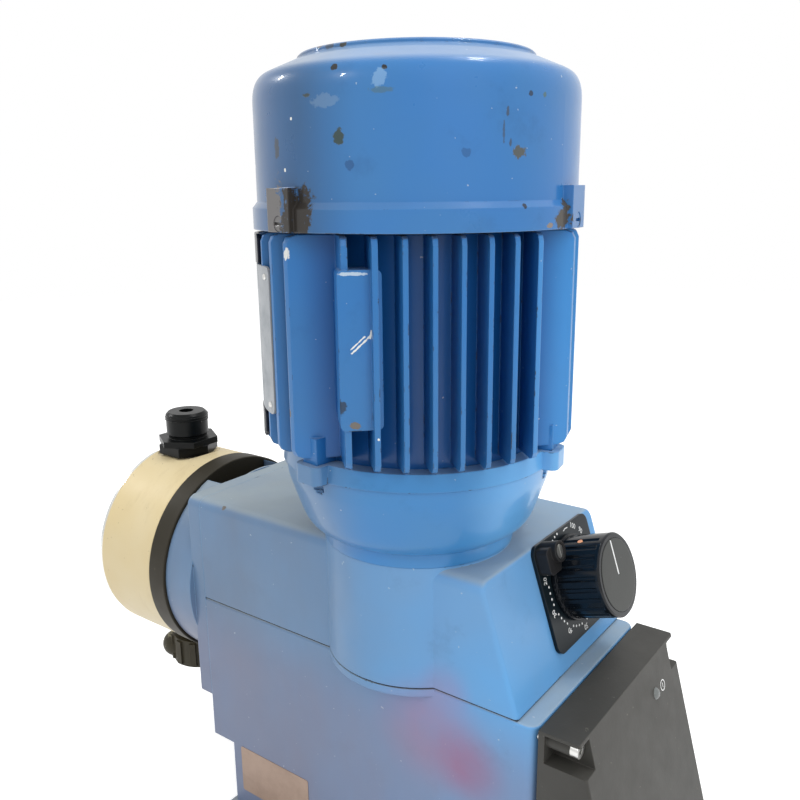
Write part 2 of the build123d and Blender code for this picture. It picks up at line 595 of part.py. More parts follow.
def lower_end_shield():
    """Bowl between the motor and the gear housing, with the lower bearing's seat."""
    z0, z1, z2 = SEAT_TOP_Z, SHIELD_STEP_Z, SHIELD_TOP_Z
    neck = SEAT_R + 0.3
    outer = Plane.XZ * Polyline((neck, z0), (neck, z0 + 5.5))
    belly = Plane.XZ * Spline((neck, z0 + 5.5), (46.5, z0 + 9.5), (50.6, z0 + 18), (54.2, z0 + 29),
                              (SHIELD_STEP_R - 0.9, z1), tangents=((0.9, 0.35), (0.15, 1)))
    rest = Plane.XZ * Polyline((SHIELD_STEP_R - 0.9, z1), (SHIELD_STEP_R, z1), (SHIELD_RIM_R + 1.3, z2),
                               (0, z2), (0, z0), (neck, z0))
    face = make_face(outer.edges() + belly.edges() + rest.edges())
    body = Pos(MOTOR_X, MOTOR_Y, 0) * revolve(face, Axis.Z)
    body += motor_disc(SPIGOT_R - RUN_GAP, z0 - 8, z0)
    body += motor_disc(FRAME_BORE_R - RUN_GAP, z2, z2 + 4)
    for place in on_frame(SHIELD_LUG_ANGLES, 0):
        lug = block(SHIELD_RIM_R - 8, SHIELD_LUG_R, -LUG_W / 2, LUG_W / 2, z1 - 0.5, z2)
        outer_edges = lug.edges().filter_by(Axis.Z).filter_by(lambda e: e.center().X > SHIELD_RIM_R)
        body += place * fillet(outer_edges, 3.0)
    body -= motor_turned([(0, z2 + 5), (FRAME_BORE_R - 4, z2 + 5), (FRAME_BORE_R - 4, z1),
                          (32, z0 + 18), (0, z0 + 18)])
    body -= motor_disc(BEARING_OD / 2, LOWER_BEARING_Z, z0 + 19)
    body -= motor_disc(SHAFT_R + 3, z0 - 9, LOWER_BEARING_Z + 1)
    for place in on_frame((45, 135, 225, 315), MOTOR_SCREW_PCD / 2):
        body -= place * disc(MOTOR_SCREW_R + SCREW_GAP, z0 - 1, z0 + 12)
    for place in on_frame(SHIELD_LUG_ANGLES, SHIELD_SCREW_R):
        body -= place * disc(2.0 + SCREW_GAP, z1 - 6, z2 + 1)
        body -= place * disc(3.0 + SCREW_GAP, z1 - 5, z1 + SHIELD_HEAD_DEPTH)
    return body


def shield_screws():
    lug_z = SHIELD_STEP_Z + SHIELD_HEAD_DEPTH
    length = SHIELD_TOP_Z + FIN_RISE + SCREW_COLUMN_H - 3 - lug_z
    one = Rot(180, 0, 0) * screw(2.0, 3.0, 3.0, length, 1.2)
    return Compound([place * Pos(0, 0, lug_z) * one for place in on_frame(SHIELD_LUG_ANGLES, SHIELD_SCREW_R)])


def motor_screws():
    head_z = HOUSING_TOP_Z - HOUSING_WALL
    one = Rot(180, 0, 0) * screw(MOTOR_SCREW_R, MOTOR_HEAD_R, MOTOR_HEAD_H, MOTOR_SCREW_L, MOTOR_SOCKET_R)
    places = on_frame((45, 135, 225, 315), MOTOR_SCREW_PCD / 2)
    return Compound([place * Pos(0, 0, head_z) * one for place in places])


def upper_end_shield():
    """Carries the upper bearing and, on three arms, the fan cowl."""
    z = FRAME_TOP_Z
    body = motor_turned([(0, UPPER_BEARING_Z), (HUB_R, UPPER_BEARING_Z), (HUB_R, z - SPIGOT_H),
                         (FRAME_BORE_R - RUN_GAP, z - SPIGOT_H), (FRAME_BORE_R - RUN_GAP, z),
                         (FRAME_ROOT_R + 2, z), (FRAME_ROOT_R + 2, z + SPIGOT_H),
                         (HUB_R, z + HUB_RISE), (0, z + HUB_RISE)])
    for place in on_frame(LUG_ANGLES, 0):
        arm = block(FRAME_ROOT_R - 4, COWL_INNER_R, -LUG_W / 2, LUG_W / 2, z + 0.5, z + 6.5)
        body += place * (arm & disc(COWL_INNER_R - RUN_GAP, z, z + 10))
    body -= motor_disc(BEARING_OD / 2, z - 13, UPPER_BEARING_Z + BEARING_W)
    body -= motor_disc(SHAFT_R + 2, z - 13, z + 8)
    for place in on_frame(LUG_ANGLES, 0):
        body -= place * disc_x(2.0 + SCREW_GAP, COWL_INNER_R - 9, COWL_INNER_R + 1, 0, COWL_SCREW_Z)
    return body


def cowl_solid(inset, top_z, rim_r, rim_z, skirt_r, skirt_bottom, skirt_top):
    """The cowl's outer or inner form: skirt, wall, rounded shoulder, cone and rim."""
    wall_r = COWL_R - inset
    end_r = SHOULDER_END_R - inset
    end_z = RIM_TOP_Z - SHOULDER_END_DROP - inset
    slope = atan2(RIM_BASE_Z - RIM_TOP_Z + SHOULDER_END_DROP, SHOULDER_END_R - RIM_R)
    shoulder = Plane.XZ * Spline((wall_r, SHOULDER_Z), (end_r, end_z), tangents=((0, 1), (-cos(slope), sin(slope))))
    walls = Plane.XZ * Polyline((end_r, end_z), (rim_r + 0.6, rim_z), (rim_r, rim_z + 0.5), (rim_r, top_z - 0.6),
                                (rim_r - 0.6, top_z), (0, top_z), (0, skirt_bottom), (skirt_r, skirt_bottom),
                                (skirt_r, skirt_top - LEDGE_H), (wall_r, skirt_top + LEDGE_H), (wall_r, SHOULDER_Z))
    return Pos(MOTOR_X, MOTOR_Y, 0) * revolve(make_face(shoulder.edges() + walls.edges()), Axis.Z)


def fan_cowl():
    body = cowl_solid(0, RIM_TOP_Z, RIM_R, RIM_BASE_Z, SKIRT_R, SKIRT_BOTTOM_Z, SKIRT_TOP_Z)
    seat = COWL_LUG_R - COWL_SCREW_SUNK
    for place in on_frame(LUG_ANGLES, 0):
        body += place * block(COWL_R - 4, COWL_LUG_R, -LUG_W / 2, LUG_W / 2, SKIRT_BOTTOM_Z, COWL_LUG_TOP_Z)
    grille_top = RIM_TOP_Z - GRILLE_DROP
    body -= motor_disc(RIM_R - 2.0, grille_top, RIM_TOP_Z + 1)
    hollow = cowl_solid(COWL_T, grille_top - GRILLE_T, RIM_R - COWL_T, RIM_BASE_Z - COWL_T - 0.6, COWL_INNER_R,
                        SKIRT_BOTTOM_Z - 1, SKIRT_TOP_Z - 2)
    body -= hollow
    for place in on_frame(LUG_ANGLES, 0):
        body -= place * disc_x(2.0 + SCREW_GAP, COWL_INNER_R - 4, COWL_LUG_R + 1, 0, COWL_SCREW_Z)
        body -= place * disc_x(COWL_SCREW_HEAD_R + SCREW_GAP, seat, COWL_LUG_R + 1, 0, COWL_SCREW_Z)
    for ring in range(GRILLE_RINGS):
        inner = GRILLE_HUB_R + ring * GRILLE_PITCH
        slot = grille_slot(inner, inner + GRILLE_SLOT, grille_top)
        for place in on_frame(ring_angles(GRILLE_ARMS), 0):
            body -= place * slot
    return body


def grille_slot(r0, r1, z):
    """One curved air slot between two arms of the grille."""
    half = 180.0 / GRILLE_ARMS - degrees(asin(GRILLE_BAR / 2 / r0))
    a = radians(half)
    line = Polyline((r0 * cos(a), -r0 * sin(a)), (r1 * cos(a), -r1 * sin(a)))
    outer = ThreePointArc((r1 * cos(a), -r1 * sin(a)), (r1, 0), (r1 * cos(a), r1 * sin(a)))
    back = Polyline((r1 * cos(a), r1 * sin(a)), (r0 * cos(a), r0 * sin(a)))
    inner = ThreePointArc((r0 * cos(a), r0 * sin(a)), (r0, 0), (r0 * cos(a), -r0 * sin(a)))
    face = make_face(line.edges() + outer.edges() + back.edges() + inner.edges())
    return Pos(0, 0, z - 3) * extrude(face, 4)


def cowl_screws():
    head = COWL_SCREW_HEAD_R
    one = disc_x(head, COWL_LUG_R - COWL_SCREW_SUNK, COWL_LUG_R - 0.2, 0, COWL_SCREW_Z)
    one += disc_x(2.0, COWL_INNER_R - 7, COWL_LUG_R - COWL_SCREW_SUNK, 0, COWL_SCREW_Z)
    one -= block(COWL_LUG_R - 1.0, COWL_LUG_R, -head, head, COWL_SCREW_Z - 0.5, COWL_SCREW_Z + 0.5)
    return Compound([place * one for place in on_frame(LUG_ANGLES, 0)])


def bearing(z):
    """A deep-groove bearing, as its two rings with the balls between them."""
    outer, inner = BEARING_OD / 2 - RUN_GAP, SHAFT_R
    third = (outer - inner) / 3
    groove = 1.0
    return motor_turned([(inner + RUN_GAP, z), (inner + third, z), (inner + third, z + groove),
                         (outer - third, z + groove), (outer - third, z), (outer, z), (outer, z + BEARING_W),
                         (outer - third, z + BEARING_W), (outer - third, z + BEARING_W - groove),
                         (inner + third, z + BEARING_W - groove), (inner + third, z + BEARING_W),
                         (inner + RUN_GAP, z + BEARING_W)])


def stator_core():
    """Laminated stack with the winding heads at both ends."""
    r = FRAME_BORE_R - RUN_GAP
    return motor_turned([(STATOR_R, STACK_BOTTOM_Z), (r, STACK_BOTTOM_Z), (r, STACK_TOP_Z),
                         (r - 4, STACK_TOP_Z), (r - 6, STACK_TOP_Z + 9), (STATOR_R + 5, STACK_TOP_Z + 9),
                         (STATOR_R + 3, STACK_TOP_Z), (STATOR_R, STACK_TOP_Z)])


def rotor_core():
    body = motor_disc(ROTOR_R, STACK_BOTTOM_Z, STACK_TOP_Z) - motor_disc(SHAFT_R, 0, RIM_TOP_Z)
    ring = motor_disc(ROTOR_R - 2, STACK_TOP_Z, STACK_TOP_Z + 4) - motor_disc(ROTOR_R - 9, 0, RIM_TOP_Z)
    return body + ring


def cooling_fan():
    z = FAN_Z
    hub, web = FAN_HUB_R, FAN_Z + 3
    hub_top = z + FAN_H * 0.75
    body = motor_turned([(SHAFT_R - 1, z), (hub, z), (hub + 3, web), (FAN_DISC_R, web),
                         (FAN_DISC_R, web + FAN_DISC_T), (hub + 1, web + FAN_DISC_T + 1),
                         (hub, hub_top), (SHAFT_R - 1, hub_top)])
    for place in on_frame(ring_angles(FAN_BLADES, 10), 0):
        body += place * block(hub - 1, FAN_R, -0.8, 0.8, web + 1, z + FAN_H)
    return body


def worm_shaft():
    """Motor shaft in one piece with the worm on its lower end."""
    top = FAN_Z + FAN_H * 0.8
    body = motor_turned([(0, BUSH_Z - 2), (WORM_TAIL_R, BUSH_Z - 2), (WORM_TAIL_R, SPLIT_Z - WORM_H / 2 - 4),
                         (WORM_ROOT_R, SPLIT_Z - WORM_H / 2 - 4), (WORM_ROOT_R, SPLIT_Z + WORM_H / 2 + 4),
                         (SHAFT_R, SPLIT_Z + WORM_H / 2 + 6), (SHAFT_R, FAN_Z - 1),
                         (SHAFT_R - 1, FAN_Z - 1), (SHAFT_R - 1, top), (0, top)])
    return body + worm_thread()


def worm_thread():
    """Right-hand thread whose middle crosses the split height on the wheel's side."""
    turns = int(WORM_H / WORM_PITCH)
    start_z = SPLIT_Z - turns / 2 * WORM_PITCH
    tip = WORM_PITCH_R + WORM_MODULE
    root = WORM_ROOT_R - 0.4
    half_root = WORM_PITCH / 4 + (WORM_PITCH_R - root) * tan(radians(20)) - GEAR_BACKLASH / 2
    half_tip = WORM_PITCH / 4 - WORM_MODULE * tan(radians(20)) - GEAR_BACKLASH / 2
    helix = Helix(WORM_PITCH, turns * WORM_PITCH, WORM_PITCH_R)
    section = Plane.XZ * make_face(Polyline((root, -half_root), (tip, -half_tip), (tip, half_tip),
                                            (root, half_root), close=True))
    thread = sweep(section, path=helix, is_frenet=True)
    return Pos(MOTOR_X, MOTOR_Y, start_z) * thread


# ---------------------------------------------------------------- wheel and eccentric
def worm_wheel():
    """Wheel whose teeth lean by the worm's lead angle; a tooth space faces the worm."""
    outer = WHEEL_PITCH_R + WORM_MODULE * 0.8
    root = WHEEL_PITCH_R - WORM_MODULE * 1.2
    step = 360.0 / WHEEL_TEETH
    flank = degrees(WORM_MODULE * tan(radians(20)) / WHEEL_PITCH_R)
    half = step / 4 - degrees(GEAR_BACKLASH / 2 / WHEEL_PITCH_R)
    lead = degrees(WHEEL_W * tan(WORM_LEAD) / WHEEL_PITCH_R)
    corners = [(root - 0.5, -half - 1.4 * flank), (outer, -half + 0.8 * flank),
               (outer, half - 0.8 * flank), (root - 0.5, half + 1.4 * flank)]
    tooth = make_face(Polyline(*[(r * cos(radians(a)), r * sin(radians(a))) for r, a in corners], close=True))
    tooth = extrude(tooth, WHEEL_W / cos(WORM_LEAD), dir=(0, sin(WORM_LEAD), cos(WORM_LEAD)))
    gear = disc(root, 0, WHEEL_W)
    for i in range(WHEEL_TEETH):
        gear += Rot(0, 0, (i + 0.5) * step - lead / 2) * tooth
    for side in (-1, WHEEL_W - 2):
        web = disc(root - 4, side, side + 3) - disc(WHEEL_SHAFT_R + 6, side, side + 3)
        gear -= web
    gear -= disc(WHEEL_SHAFT_R, -1, WHEEL_W + 1)
    return Pos(WHEEL_X, MOTOR_Y + WHEEL_W / 2, SPLIT_Z) * Rot(90, 0, 0) * gear


def eccentric_shaft():
    body = disc_y(WHEEL_SHAFT_R, -CAVITY_Y + 0.5, CAVITY_Y - 0.5, WHEEL_X, SPLIT_Z)
    body += disc_y(ECCENTRIC_R, -ECCENTRIC_W / 2, ECCENTRIC_W / 2, WHEEL_X + ECCENTRIC_OFFSET, SPLIT_Z)
    hub_y = MOTOR_Y + WHEEL_W / 2
    body += disc_y(WHEEL_SHAFT_R + 3, hub_y, hub_y + 4, WHEEL_X, SPLIT_Z)
    return body


def wheel_bearings():
    inner = CAVITY_Y - WHEEL_BEARING_W
    rings = []
    for a in (-CAVITY_Y, inner):
        ring = disc_y(WHEEL_BEARING_R - RUN_GAP, a, a + WHEEL_BEARING_W, WHEEL_X, SPLIT_Z)
        rings.append(ring - disc_y(WHEEL_SHAFT_R + RUN_GAP, a - 1, a + WHEEL_BEARING_W + 1, WHEEL_X, SPLIT_Z))
    return Compound(rings)


def worm_bush():
    ring = motor_disc(BUSH_R - RUN_GAP, BUSH_Z, BUSH_Z + BUSH_H)
    return ring - motor_disc(WORM_TAIL_R + RUN_GAP, BUSH_Z - 1, BUSH_Z + BUSH_H + 1)


def shaft_seal():
    z = SEAT_TOP_Z + 2
    ring = motor_disc(SHAFT_R + 3 - RUN_GAP, z, z + 5) - motor_disc(SHAFT_R + RUN_GAP, z - 1, z + 6)
    return ring


# ---------------------------------------------------------------- push rod
def push_rod():
    """Rod with a follower plate and a yoke that reaches round the eccentric."""
    front = CORE_X + CORE_T
    body = disc_x(ROD_R, front, ROD_BACK_X - YOKE_T, 0, SPLIT_Z)
    body += disc_x(3.0, CORE_X + 1, front, 0, SPLIT_Z)
    half_y = ECCENTRIC_W / 2
    inner_z = ECCENTRIC_R + ECCENTRIC_OFFSET + REST_GAP
    back = WHEEL_X + ECCENTRIC_R + ECCENTRIC_OFFSET + STROKE + REST_GAP
    outer = block(ROD_BACK_X - YOKE_T, back + YOKE_T, -half_y, half_y,
                  SPLIT_Z - inner_z - YOKE_T, SPLIT_Z + inner_z + YOKE_T)
    outer = fillet(outer.edges().filter_by(Axis.Y), 4.0)
    body += outer
    body += disc_x(SPRING_SEAT_R, ROD_BACK_X - YOKE_T - 3, ROD_BACK_X - YOKE_T, 0, SPLIT_Z)
    body -= block(ROD_BACK_X, back, -half_y - 1, half_y + 1, SPLIT_Z - inner_z, SPLIT_Z + inner_z)
    body += block(back, back + YOKE_T, half_y, KNOB_Y + SPINDLE_R + 2, SPLIT_Z + 2, SPLIT_Z + inner_z)
    return body


def return_spring():
    """Coil spring between the lantern's spigot and the follower plate."""
    x0 = CAVITY_LEFT_X + SPRING_WIRE_R + REST_GAP
    x1 = ROD_BACK_X - YOKE_T - 3 - SPRING_WIRE_R - REST_GAP
    pitch = (x1 - x0) / SPRING_TURNS
    helix = Helix(pitch, x1 - x0, SPRING_R)
    wire = sweep(Plane(origin=helix @ 0, z_dir=helix % 0) * Circle(SPRING_WIRE_R), path=helix)
    return Pos(x0, 0, SPLIT_Z) * Rot(0, 90, 0) * wire


def rod_bushing():
    x0, x1 = LANTERN_X + 6, CAVITY_LEFT_X
    ring = disc_x(ROD_R + 4, x0, x1, 0, SPLIT_Z)
    return ring - disc_x(ROD_R + RUN_GAP, x0 - 1, x1 + 1, 0, SPLIT_Z)


def rod_seal():
    x0 = LANTERN_X + 1
    ring = disc_x(ROD_R + 4, x0, x0 + 5, 0, SPLIT_Z)
    return ring - disc_x(ROD_R + RUN_GAP, x0 - 1, x0 + 6, 0, SPLIT_Z)


def diaphragm_core():
    """Stud disc behind the diaphragm, screwed on the rod's tip."""
    disc_ = turned_x([(0, CORE_X), (CORE_R - 1, CORE_X), (CORE_R, CORE_X + 1.5), (CORE_R - 4, CORE_X + CORE_T),
                      (0, CORE_X + CORE_T)], 0, SPLIT_Z)
    return disc_ - disc_x(3.0, CORE_X + 1, CORE_X + CORE_T + 1, 0, SPLIT_Z)


def diaphragm():
    x = BACKPLATE_X
    return turned_x([(0, x), (CORE_R, x), (CORE_R + 3, x + BELLOWS_STEP), (DIAPHRAGM_R - 9, x + BELLOWS_STEP),
                     (DIAPHRAGM_R - 6, x), (DIAPHRAGM_R, x), (DIAPHRAGM_R, x + DIAPHRAGM_T), (0, x + DIAPHRAGM_T)],
                    0, SPLIT_Z)


# ---------------------------------------------------------------- liquid end
def lantern():
    """Plate that closes the housing's left end, with the round flange for the head."""
    plate = block(LANTERN_X, HOUSING_LEFT_X, -HALF_W, HALF_W, LANTERN_BOTTOM_Z, HOUSING_TOP_Z)
    edges = plate.edges().filter_by(Axis.X)
    plate = fillet(edges.group_by(Axis.Z)[-1], EDGE_R)
    plate = fillet(plate.edges().filter_by(Axis.X).group_by(Axis.Z)[0], LANTERN_CORNER_R)
    plate = fillet(plate.faces().sort_by(Axis.X)[0].edges(), 0.8)
    body = plate + disc_x(FLANGE_R, FLANGE_X, LANTERN_X + 1, 0, SPLIT_Z)
    body -= disc_x(FLANGE_BORE_R, FLANGE_X - 1, LANTERN_X, 0, SPLIT_Z)
    body += disc_x(GUIDE_R - RUN_GAP, HOUSING_LEFT_X - 1, CAVITY_LEFT_X, 0, SPLIT_Z)
    body += disc_x(ROD_R + 9, LANTERN_X - 4, LANTERN_X + 1, 0, SPLIT_Z)
    body -= disc_x(ROD_R + 4, LANTERN_X + 1, CAVITY_LEFT_X + 1, 0, SPLIT_Z)
    body -= disc_x(ROD_R + 1, LANTERN_X - 5, LANTERN_X + 2, 0, SPLIT_Z)
    body -= block(FLANGE_X - 1, LANTERN_X, -LANTERN_WINDOW / 2, LANTERN_WINDOW / 2, SPLIT_Z + 30, HOUSING_TOP_Z + 9)
    body -= disc(4.0, LANTERN_BOTTOM_Z, SPLIT_Z - 30, FLANGE_X + FLANGE_L / 2, 0)
    for y, z in head_screw_places():
        body -= disc_x(HEAD_SCREW_R + SCREW_GAP, FLANGE_X - 1, FLANGE_X + 14, y, z)
    for y, z in LANTERN_SCREWS:
        body -= disc_x(HEAD_SCREW_R + SCREW_GAP, LANTERN_X - 1, HOUSING_LEFT_X + 1, y, z)
        body -= disc_x(HEAD_SCREW_R * 2, LANTERN_X - 1, LANTERN_X + 4, y, z)
    return body


def head_screw_places():
    return [(HEAD_SCREW_PCD / 2 * cos(radians(a)), SPLIT_Z + HEAD_SCREW_PCD / 2 * sin(radians(a)))
            for a in ring_angles(HEAD_SCREWS)]


def screw_x(r, head_r, head_h, length, socket_r):
    """The same screw lying along X: head towards -X."""
    return Rot(0, -90, 0) * screw(r, head_r, head_h, length, socket_r)


def lantern_screws():
    one = screw_x(HEAD_SCREW_R, 4.2, 3.8, LANTERN_SCREW_L, 2.0)
    at = LANTERN_X + 4
    return Compound([Pos(at, y, z) * one for y, z in LANTERN_SCREWS])


def backplate():
    body = disc_x(BACKPLATE_R, BACKPLATE_X, FLANGE_X, 0, SPLIT_Z)
    body = fillet(body.edges().filter_by(GeomType.CIRCLE), 0.6)
    body += disc_x(FLANGE_BORE_R - SCREW_GAP, FLANGE_X - 1, FLANGE_X + 3, 0, SPLIT_Z)
    body -= disc_x(DIAPHRAGM_R, BACKPLATE_X - 1, BACKPLATE_X + DIAPHRAGM_T, 0, SPLIT_Z)
    body -= disc_x(CORE_R + 2, BACKPLATE_X, FLANGE_X + 4, 0, SPLIT_Z)
    for y, z in head_screw_places():
        body -= disc_x(HEAD_SCREW_R + SCREW_GAP, BACKPLATE_X - 1, FLANGE_X + 4, y, z)
    return body


def dosing_head():
    body = disc_x(HEAD_R, HEAD_X, BACKPLATE_X, 0, SPLIT_Z)
    rims = body.edges().filter_by(GeomType.CIRCLE)
    body = fillet(rims.group_by(Axis.X)[0], 1.2)
    body = fillet(body.edges().filter_by(GeomType.CIRCLE).group_by(Axis.X)[-1], 0.6)
    body -= turned_x([(0, BACKPLATE_X - 9), (18, BACKPLATE_X - 9), (DIAPHRAGM_R - 10, BACKPLATE_X - 2),
                      (DIAPHRAGM_R - 10, BACKPLATE_X + 1), (0, BACKPLATE_X + 1)], 0, SPLIT_Z)
    for side in (1, -1):
        flat = side * VALVE_FLAT
        body -= Pos(VALVE_X, 0, SPLIT_Z + flat + side * 5) * Cylinder(VALVE_HEX / 2 * 1.2, 10)
        socket = side * (VALVE_FLAT - VALVE_TAIL - 0.5)
        body -= disc(TAIL_R + SCREW_GAP, SPLIT_Z + min(socket, flat), SPLIT_Z + max(socket, flat), VALVE_X)
        inner = side * 12
        body -= disc(VALVE_PORT_R, SPLIT_Z + min(socket, inner), SPLIT_Z + max(socket, inner), VALVE_X)
        body -= disc_x(VALVE_PORT_R, VALVE_X, BACKPLATE_X - 5, 0, SPLIT_Z + side * 14)
    for y, z in head_screw_places():
        body -= disc_x(HEAD_SCREW_R + SCREW_GAP, HEAD_X - 1, BACKPLATE_X + 1, y, z)
    return body


def head_cover():
    """Steel pressure plate on the head's free face."""
    body = disc_x(COVER_DISC_R, HEAD_X - COVER_DISC_T, HEAD_X, 0, SPLIT_Z)
    body = chamfer(body.edges().filter_by(GeomType.CIRCLE).group_by(Axis.X)[0], 0.8)
    for side in (1, -1):
        near, far = VALVE_FLAT - REST_GAP, COVER_DISC_R + 1
        body -= block(HEAD_X - COVER_DISC_T - 1, HEAD_X + 1, -VALVE_HEX, VALVE_HEX,
                      SPLIT_Z + min(side * near, side * far), SPLIT_Z + max(side * near, side * far))
    for y, z in head_screw_places():
        body -= disc_x(HEAD_SCREW_R + SCREW_GAP, HEAD_X - COVER_DISC_T - 1, HEAD_X + 1, y, z)
    return body


def head_screws():
    length = (FLANGE_X + 12) - (HEAD_X - COVER_DISC_T)
    one = screw_x(HEAD_SCREW_R, 4.4, 2.6, length, 2.0)
    return Compound([Pos(HEAD_X - COVER_DISC_T, y, z) * one for y, z in head_screw_places()])


# ---------------------------------------------------------------- valves
def valve_hex(z0, z1, size, turn=0.0):
    return Pos(VALVE_X, 0, z0) * Rot(0, 0, turn) * extrude(RegularPolygon(size / 2, 6, major_radius=False), z1 - z0)


def ball_chamber(low):
    """Room of a valve body around its seat ring and ball."""
    return disc(CHAMBER_R, low, low + CHAMBER_H, VALVE_X)


def discharge_valve_body():
    z = SPLIT_Z + VALVE_FLAT + SEAL_T
    low = z - SEAL_T - VALVE_TAIL
    body = valve_hex(z, z + 5.2, VALVE_HEX)
    body += valve_hex(z + 5.2, z + 8.6, VALVE_HEX + 1.6, 30)
    body += turned([(0, z + 8), (VALVE_THREAD_R - 0.9, z + 8), (VALVE_THREAD_R - 0.9, z + 10),
                    (VALVE_THREAD_R, z + 10.8), (VALVE_THREAD_R, VALVE_TOP_Z - 1.4),
                    (VALVE_THREAD_R - 1.4, VALVE_TOP_Z), (0, VALVE_TOP_Z)], VALVE_X)
    body += disc(TAIL_R, low, z, VALVE_X)
    body -= disc(VALVE_BORE_R, low - 1, VALVE_TOP_Z + 1, VALVE_X)
    body -= ball_chamber(low - 0.01)
    return body


def suction_valve_body():
    z = SPLIT_Z - VALVE_FLAT - SEAL_T
    high = z + SEAL_T + VALVE_TAIL
    body = valve_hex(z - VALVE_HEX_H, z, VALVE_HEX)
    body += disc(VALVE_THREAD_R, SUCTION_END_Z, z - VALVE_HEX_H + 1, VALVE_X)
    body += disc(TAIL_R, z - 1, high, VALVE_X)
    body -= disc(VALVE_BORE_R, SUCTION_END_Z - 1, high + 1, VALVE_X)
    body -= ball_chamber(high - CHAMBER_H + 0.01)
    return body


def seat_ring(z):
    ring = disc(CHAMBER_R - RUN_GAP, z, z + SEAT_H, VALVE_X)
    ring -= disc(BALL_SEAT_R, z - 1, z + SEAT_H + 1, VALVE_X)
    return ring


def valve_ball(seat_z):
    """Ball at rest on its seat's upper edge."""
    rise = sqrt(BALL_R ** 2 - BALL_SEAT_R ** 2) + RUN_GAP
    return Pos(VALVE_X, 0, seat_z + SEAT_H + rise) * Sphere(BALL_R)


def flat_seal(z):
    return disc(TAIL_R + 3.0, z, z + SEAL_T, VALVE_X) - disc(TAIL_R + SCREW_GAP, z - 1, z + SEAL_T + 1, VALVE_X)


def suction_union_nut():
    low = NUT_LOW_Z
    body = disc(NUT_R - 1.2, low, low + NUT_H, VALVE_X)
    rib = block(NUT_R - 3, NUT_R, -1.9, 1.9, low + 1, low + NUT_H - 1)
    for a in ring_angles(12):
        body += Pos(VALVE_X, 0, 0) * Rot(0, 0, a) * rib
    for a in (-137.0, 43.0):
        body += Pos(VALVE_X, 0, low + WING_R) * Rot(0, 0, a) * Pos(WING_AT, 0, 0) * Sphere(WING_R)
    body -= disc(VALVE_THREAD_R + SCREW_GAP, low + 4, low + NUT_H + 1, VALVE_X)
    body -= disc(INSERT_R + SCREW_GAP, low - 1, low + 5, VALVE_X)
    return body


def suction_insert():
    """Solvent socket held under the nut, with the hose tail."""
    low = NUT_LOW_Z
    body = turned([(VALVE_BORE_R, low - 1), (INSERT_R - 1, low - 1), (INSERT_R, low), (INSERT_R, low + 4),
                   (VALVE_THREAD_R - 0.4, low + 4), (VALVE_THREAD_R - 0.4, SUCTION_END_Z - 1.0),
                   (VALVE_BORE_R, SUCTION_END_Z - 1.0)], VALVE_X)
    return body


def suction_gasket():
    z = SUCTION_END_Z - 1.0
    return disc(VALVE_THREAD_R - 1, z, z + 1.0, VALVE_X) - disc(VALVE_BORE_R + 1, z - 1, z + 2, VALVE_X)


# ---------------------------------------------------------------- stroke knob
def dial_plate():
    plane = on_panel(DIAL_S, 0, KNOB_Y)
    body = extruded(plane, RectangleRounded(DIAL_W, DIAL_H, 4.5), DIAL_T)
    body -= extruded(on_panel(KNOB_S, -1, KNOB_Y), Circle(BUSHING_R + SCREW_GAP), DIAL_T + 2)
    for y, s in PLATE_SCREWS:
        body -= extruded(on_panel(s, -1, y), Circle(1.0), DIAL_T + 2)
    return body


def spindle_bushing():
    plane = on_panel(KNOB_S, -HOUSING_WALL - 8, KNOB_Y)
    body = extruded(plane, Circle(BUSHING_R - RUN_GAP), HOUSING_WALL + 8 + DIAL_T)
    body -= extruded(on_panel(KNOB_S, -HOUSING_WALL - 9, KNOB_Y), Circle(SPINDLE_R + RUN_GAP), HOUSING_WALL + 12)
    return body


def knob():
    """Fluted cup with a hub that drives the spindle."""
    base = DIAL_T + KNOB_GAP
    top = base + KNOB_H
    plan = Circle(KNOB_R)
    for i in range(KNOB_FLUTES):
        a = radians(360.0 / KNOB_FLUTES * i)
        at = KNOB_R + 0.6
        if i != KNOB_FLUTES // 4:
            plan -= Pos(at * cos(a), at * sin(a)) * Circle(1.25)
    skirt = Circle(KNOB_SKIRT_R)
    body = extruded(on_panel(KNOB_S, base, KNOB_Y), plan, KNOB_H - 2.2)
    collar = extruded(on_panel(KNOB_S, top - 2.2, KNOB_Y), Circle(KNOB_R), 2.2)
    collar = chamfer(collar.edges().filter_by(GeomType.CIRCLE).sort_by(Axis.X)[-1], 0.6)
    body += collar
    body += extruded(on_panel(KNOB_S, base, KNOB_Y), skirt, KNOB_SKIRT_H)
    body -= extruded(on_panel(KNOB_S, base - 1, KNOB_Y), Circle(KNOB_R - 3.2) - Circle(KNOB_HUB_R), KNOB_H - 3)
    body -= extruded(on_panel(KNOB_S, base - 1, KNOB_Y), Circle(SPINDLE_R), KNOB_H - 4)
    body -= extruded(on_panel(KNOB_S, top - 0.8, KNOB_Y), Circle(KNOB_CAP_R + SCREW_GAP), 2)
    return body


def knob_cap():
    at = DIAL_T + KNOB_GAP + KNOB_H - 0.8
    body = extruded(on_panel(KNOB_S, at, KNOB_Y), Circle(KNOB_CAP_R), 1.0)
    line = extruded(on_panel(KNOB_S + KNOB_CAP_R / 2, at + 0.7, KNOB_Y), Rectangle(0.9, KNOB_CAP_R), 1)
    return body - line


def adjusting_spindle():
    """Spindle that the knob screws in and out, up to the yoke's stop."""
    top = DIAL_T + KNOB_GAP + KNOB_H - 5 - REST_GAP
    return extruded(on_panel(KNOB_S, -SPINDLE_REACH, KNOB_Y), Circle(SPINDLE_R - RUN_GAP), SPINDLE_REACH + top)


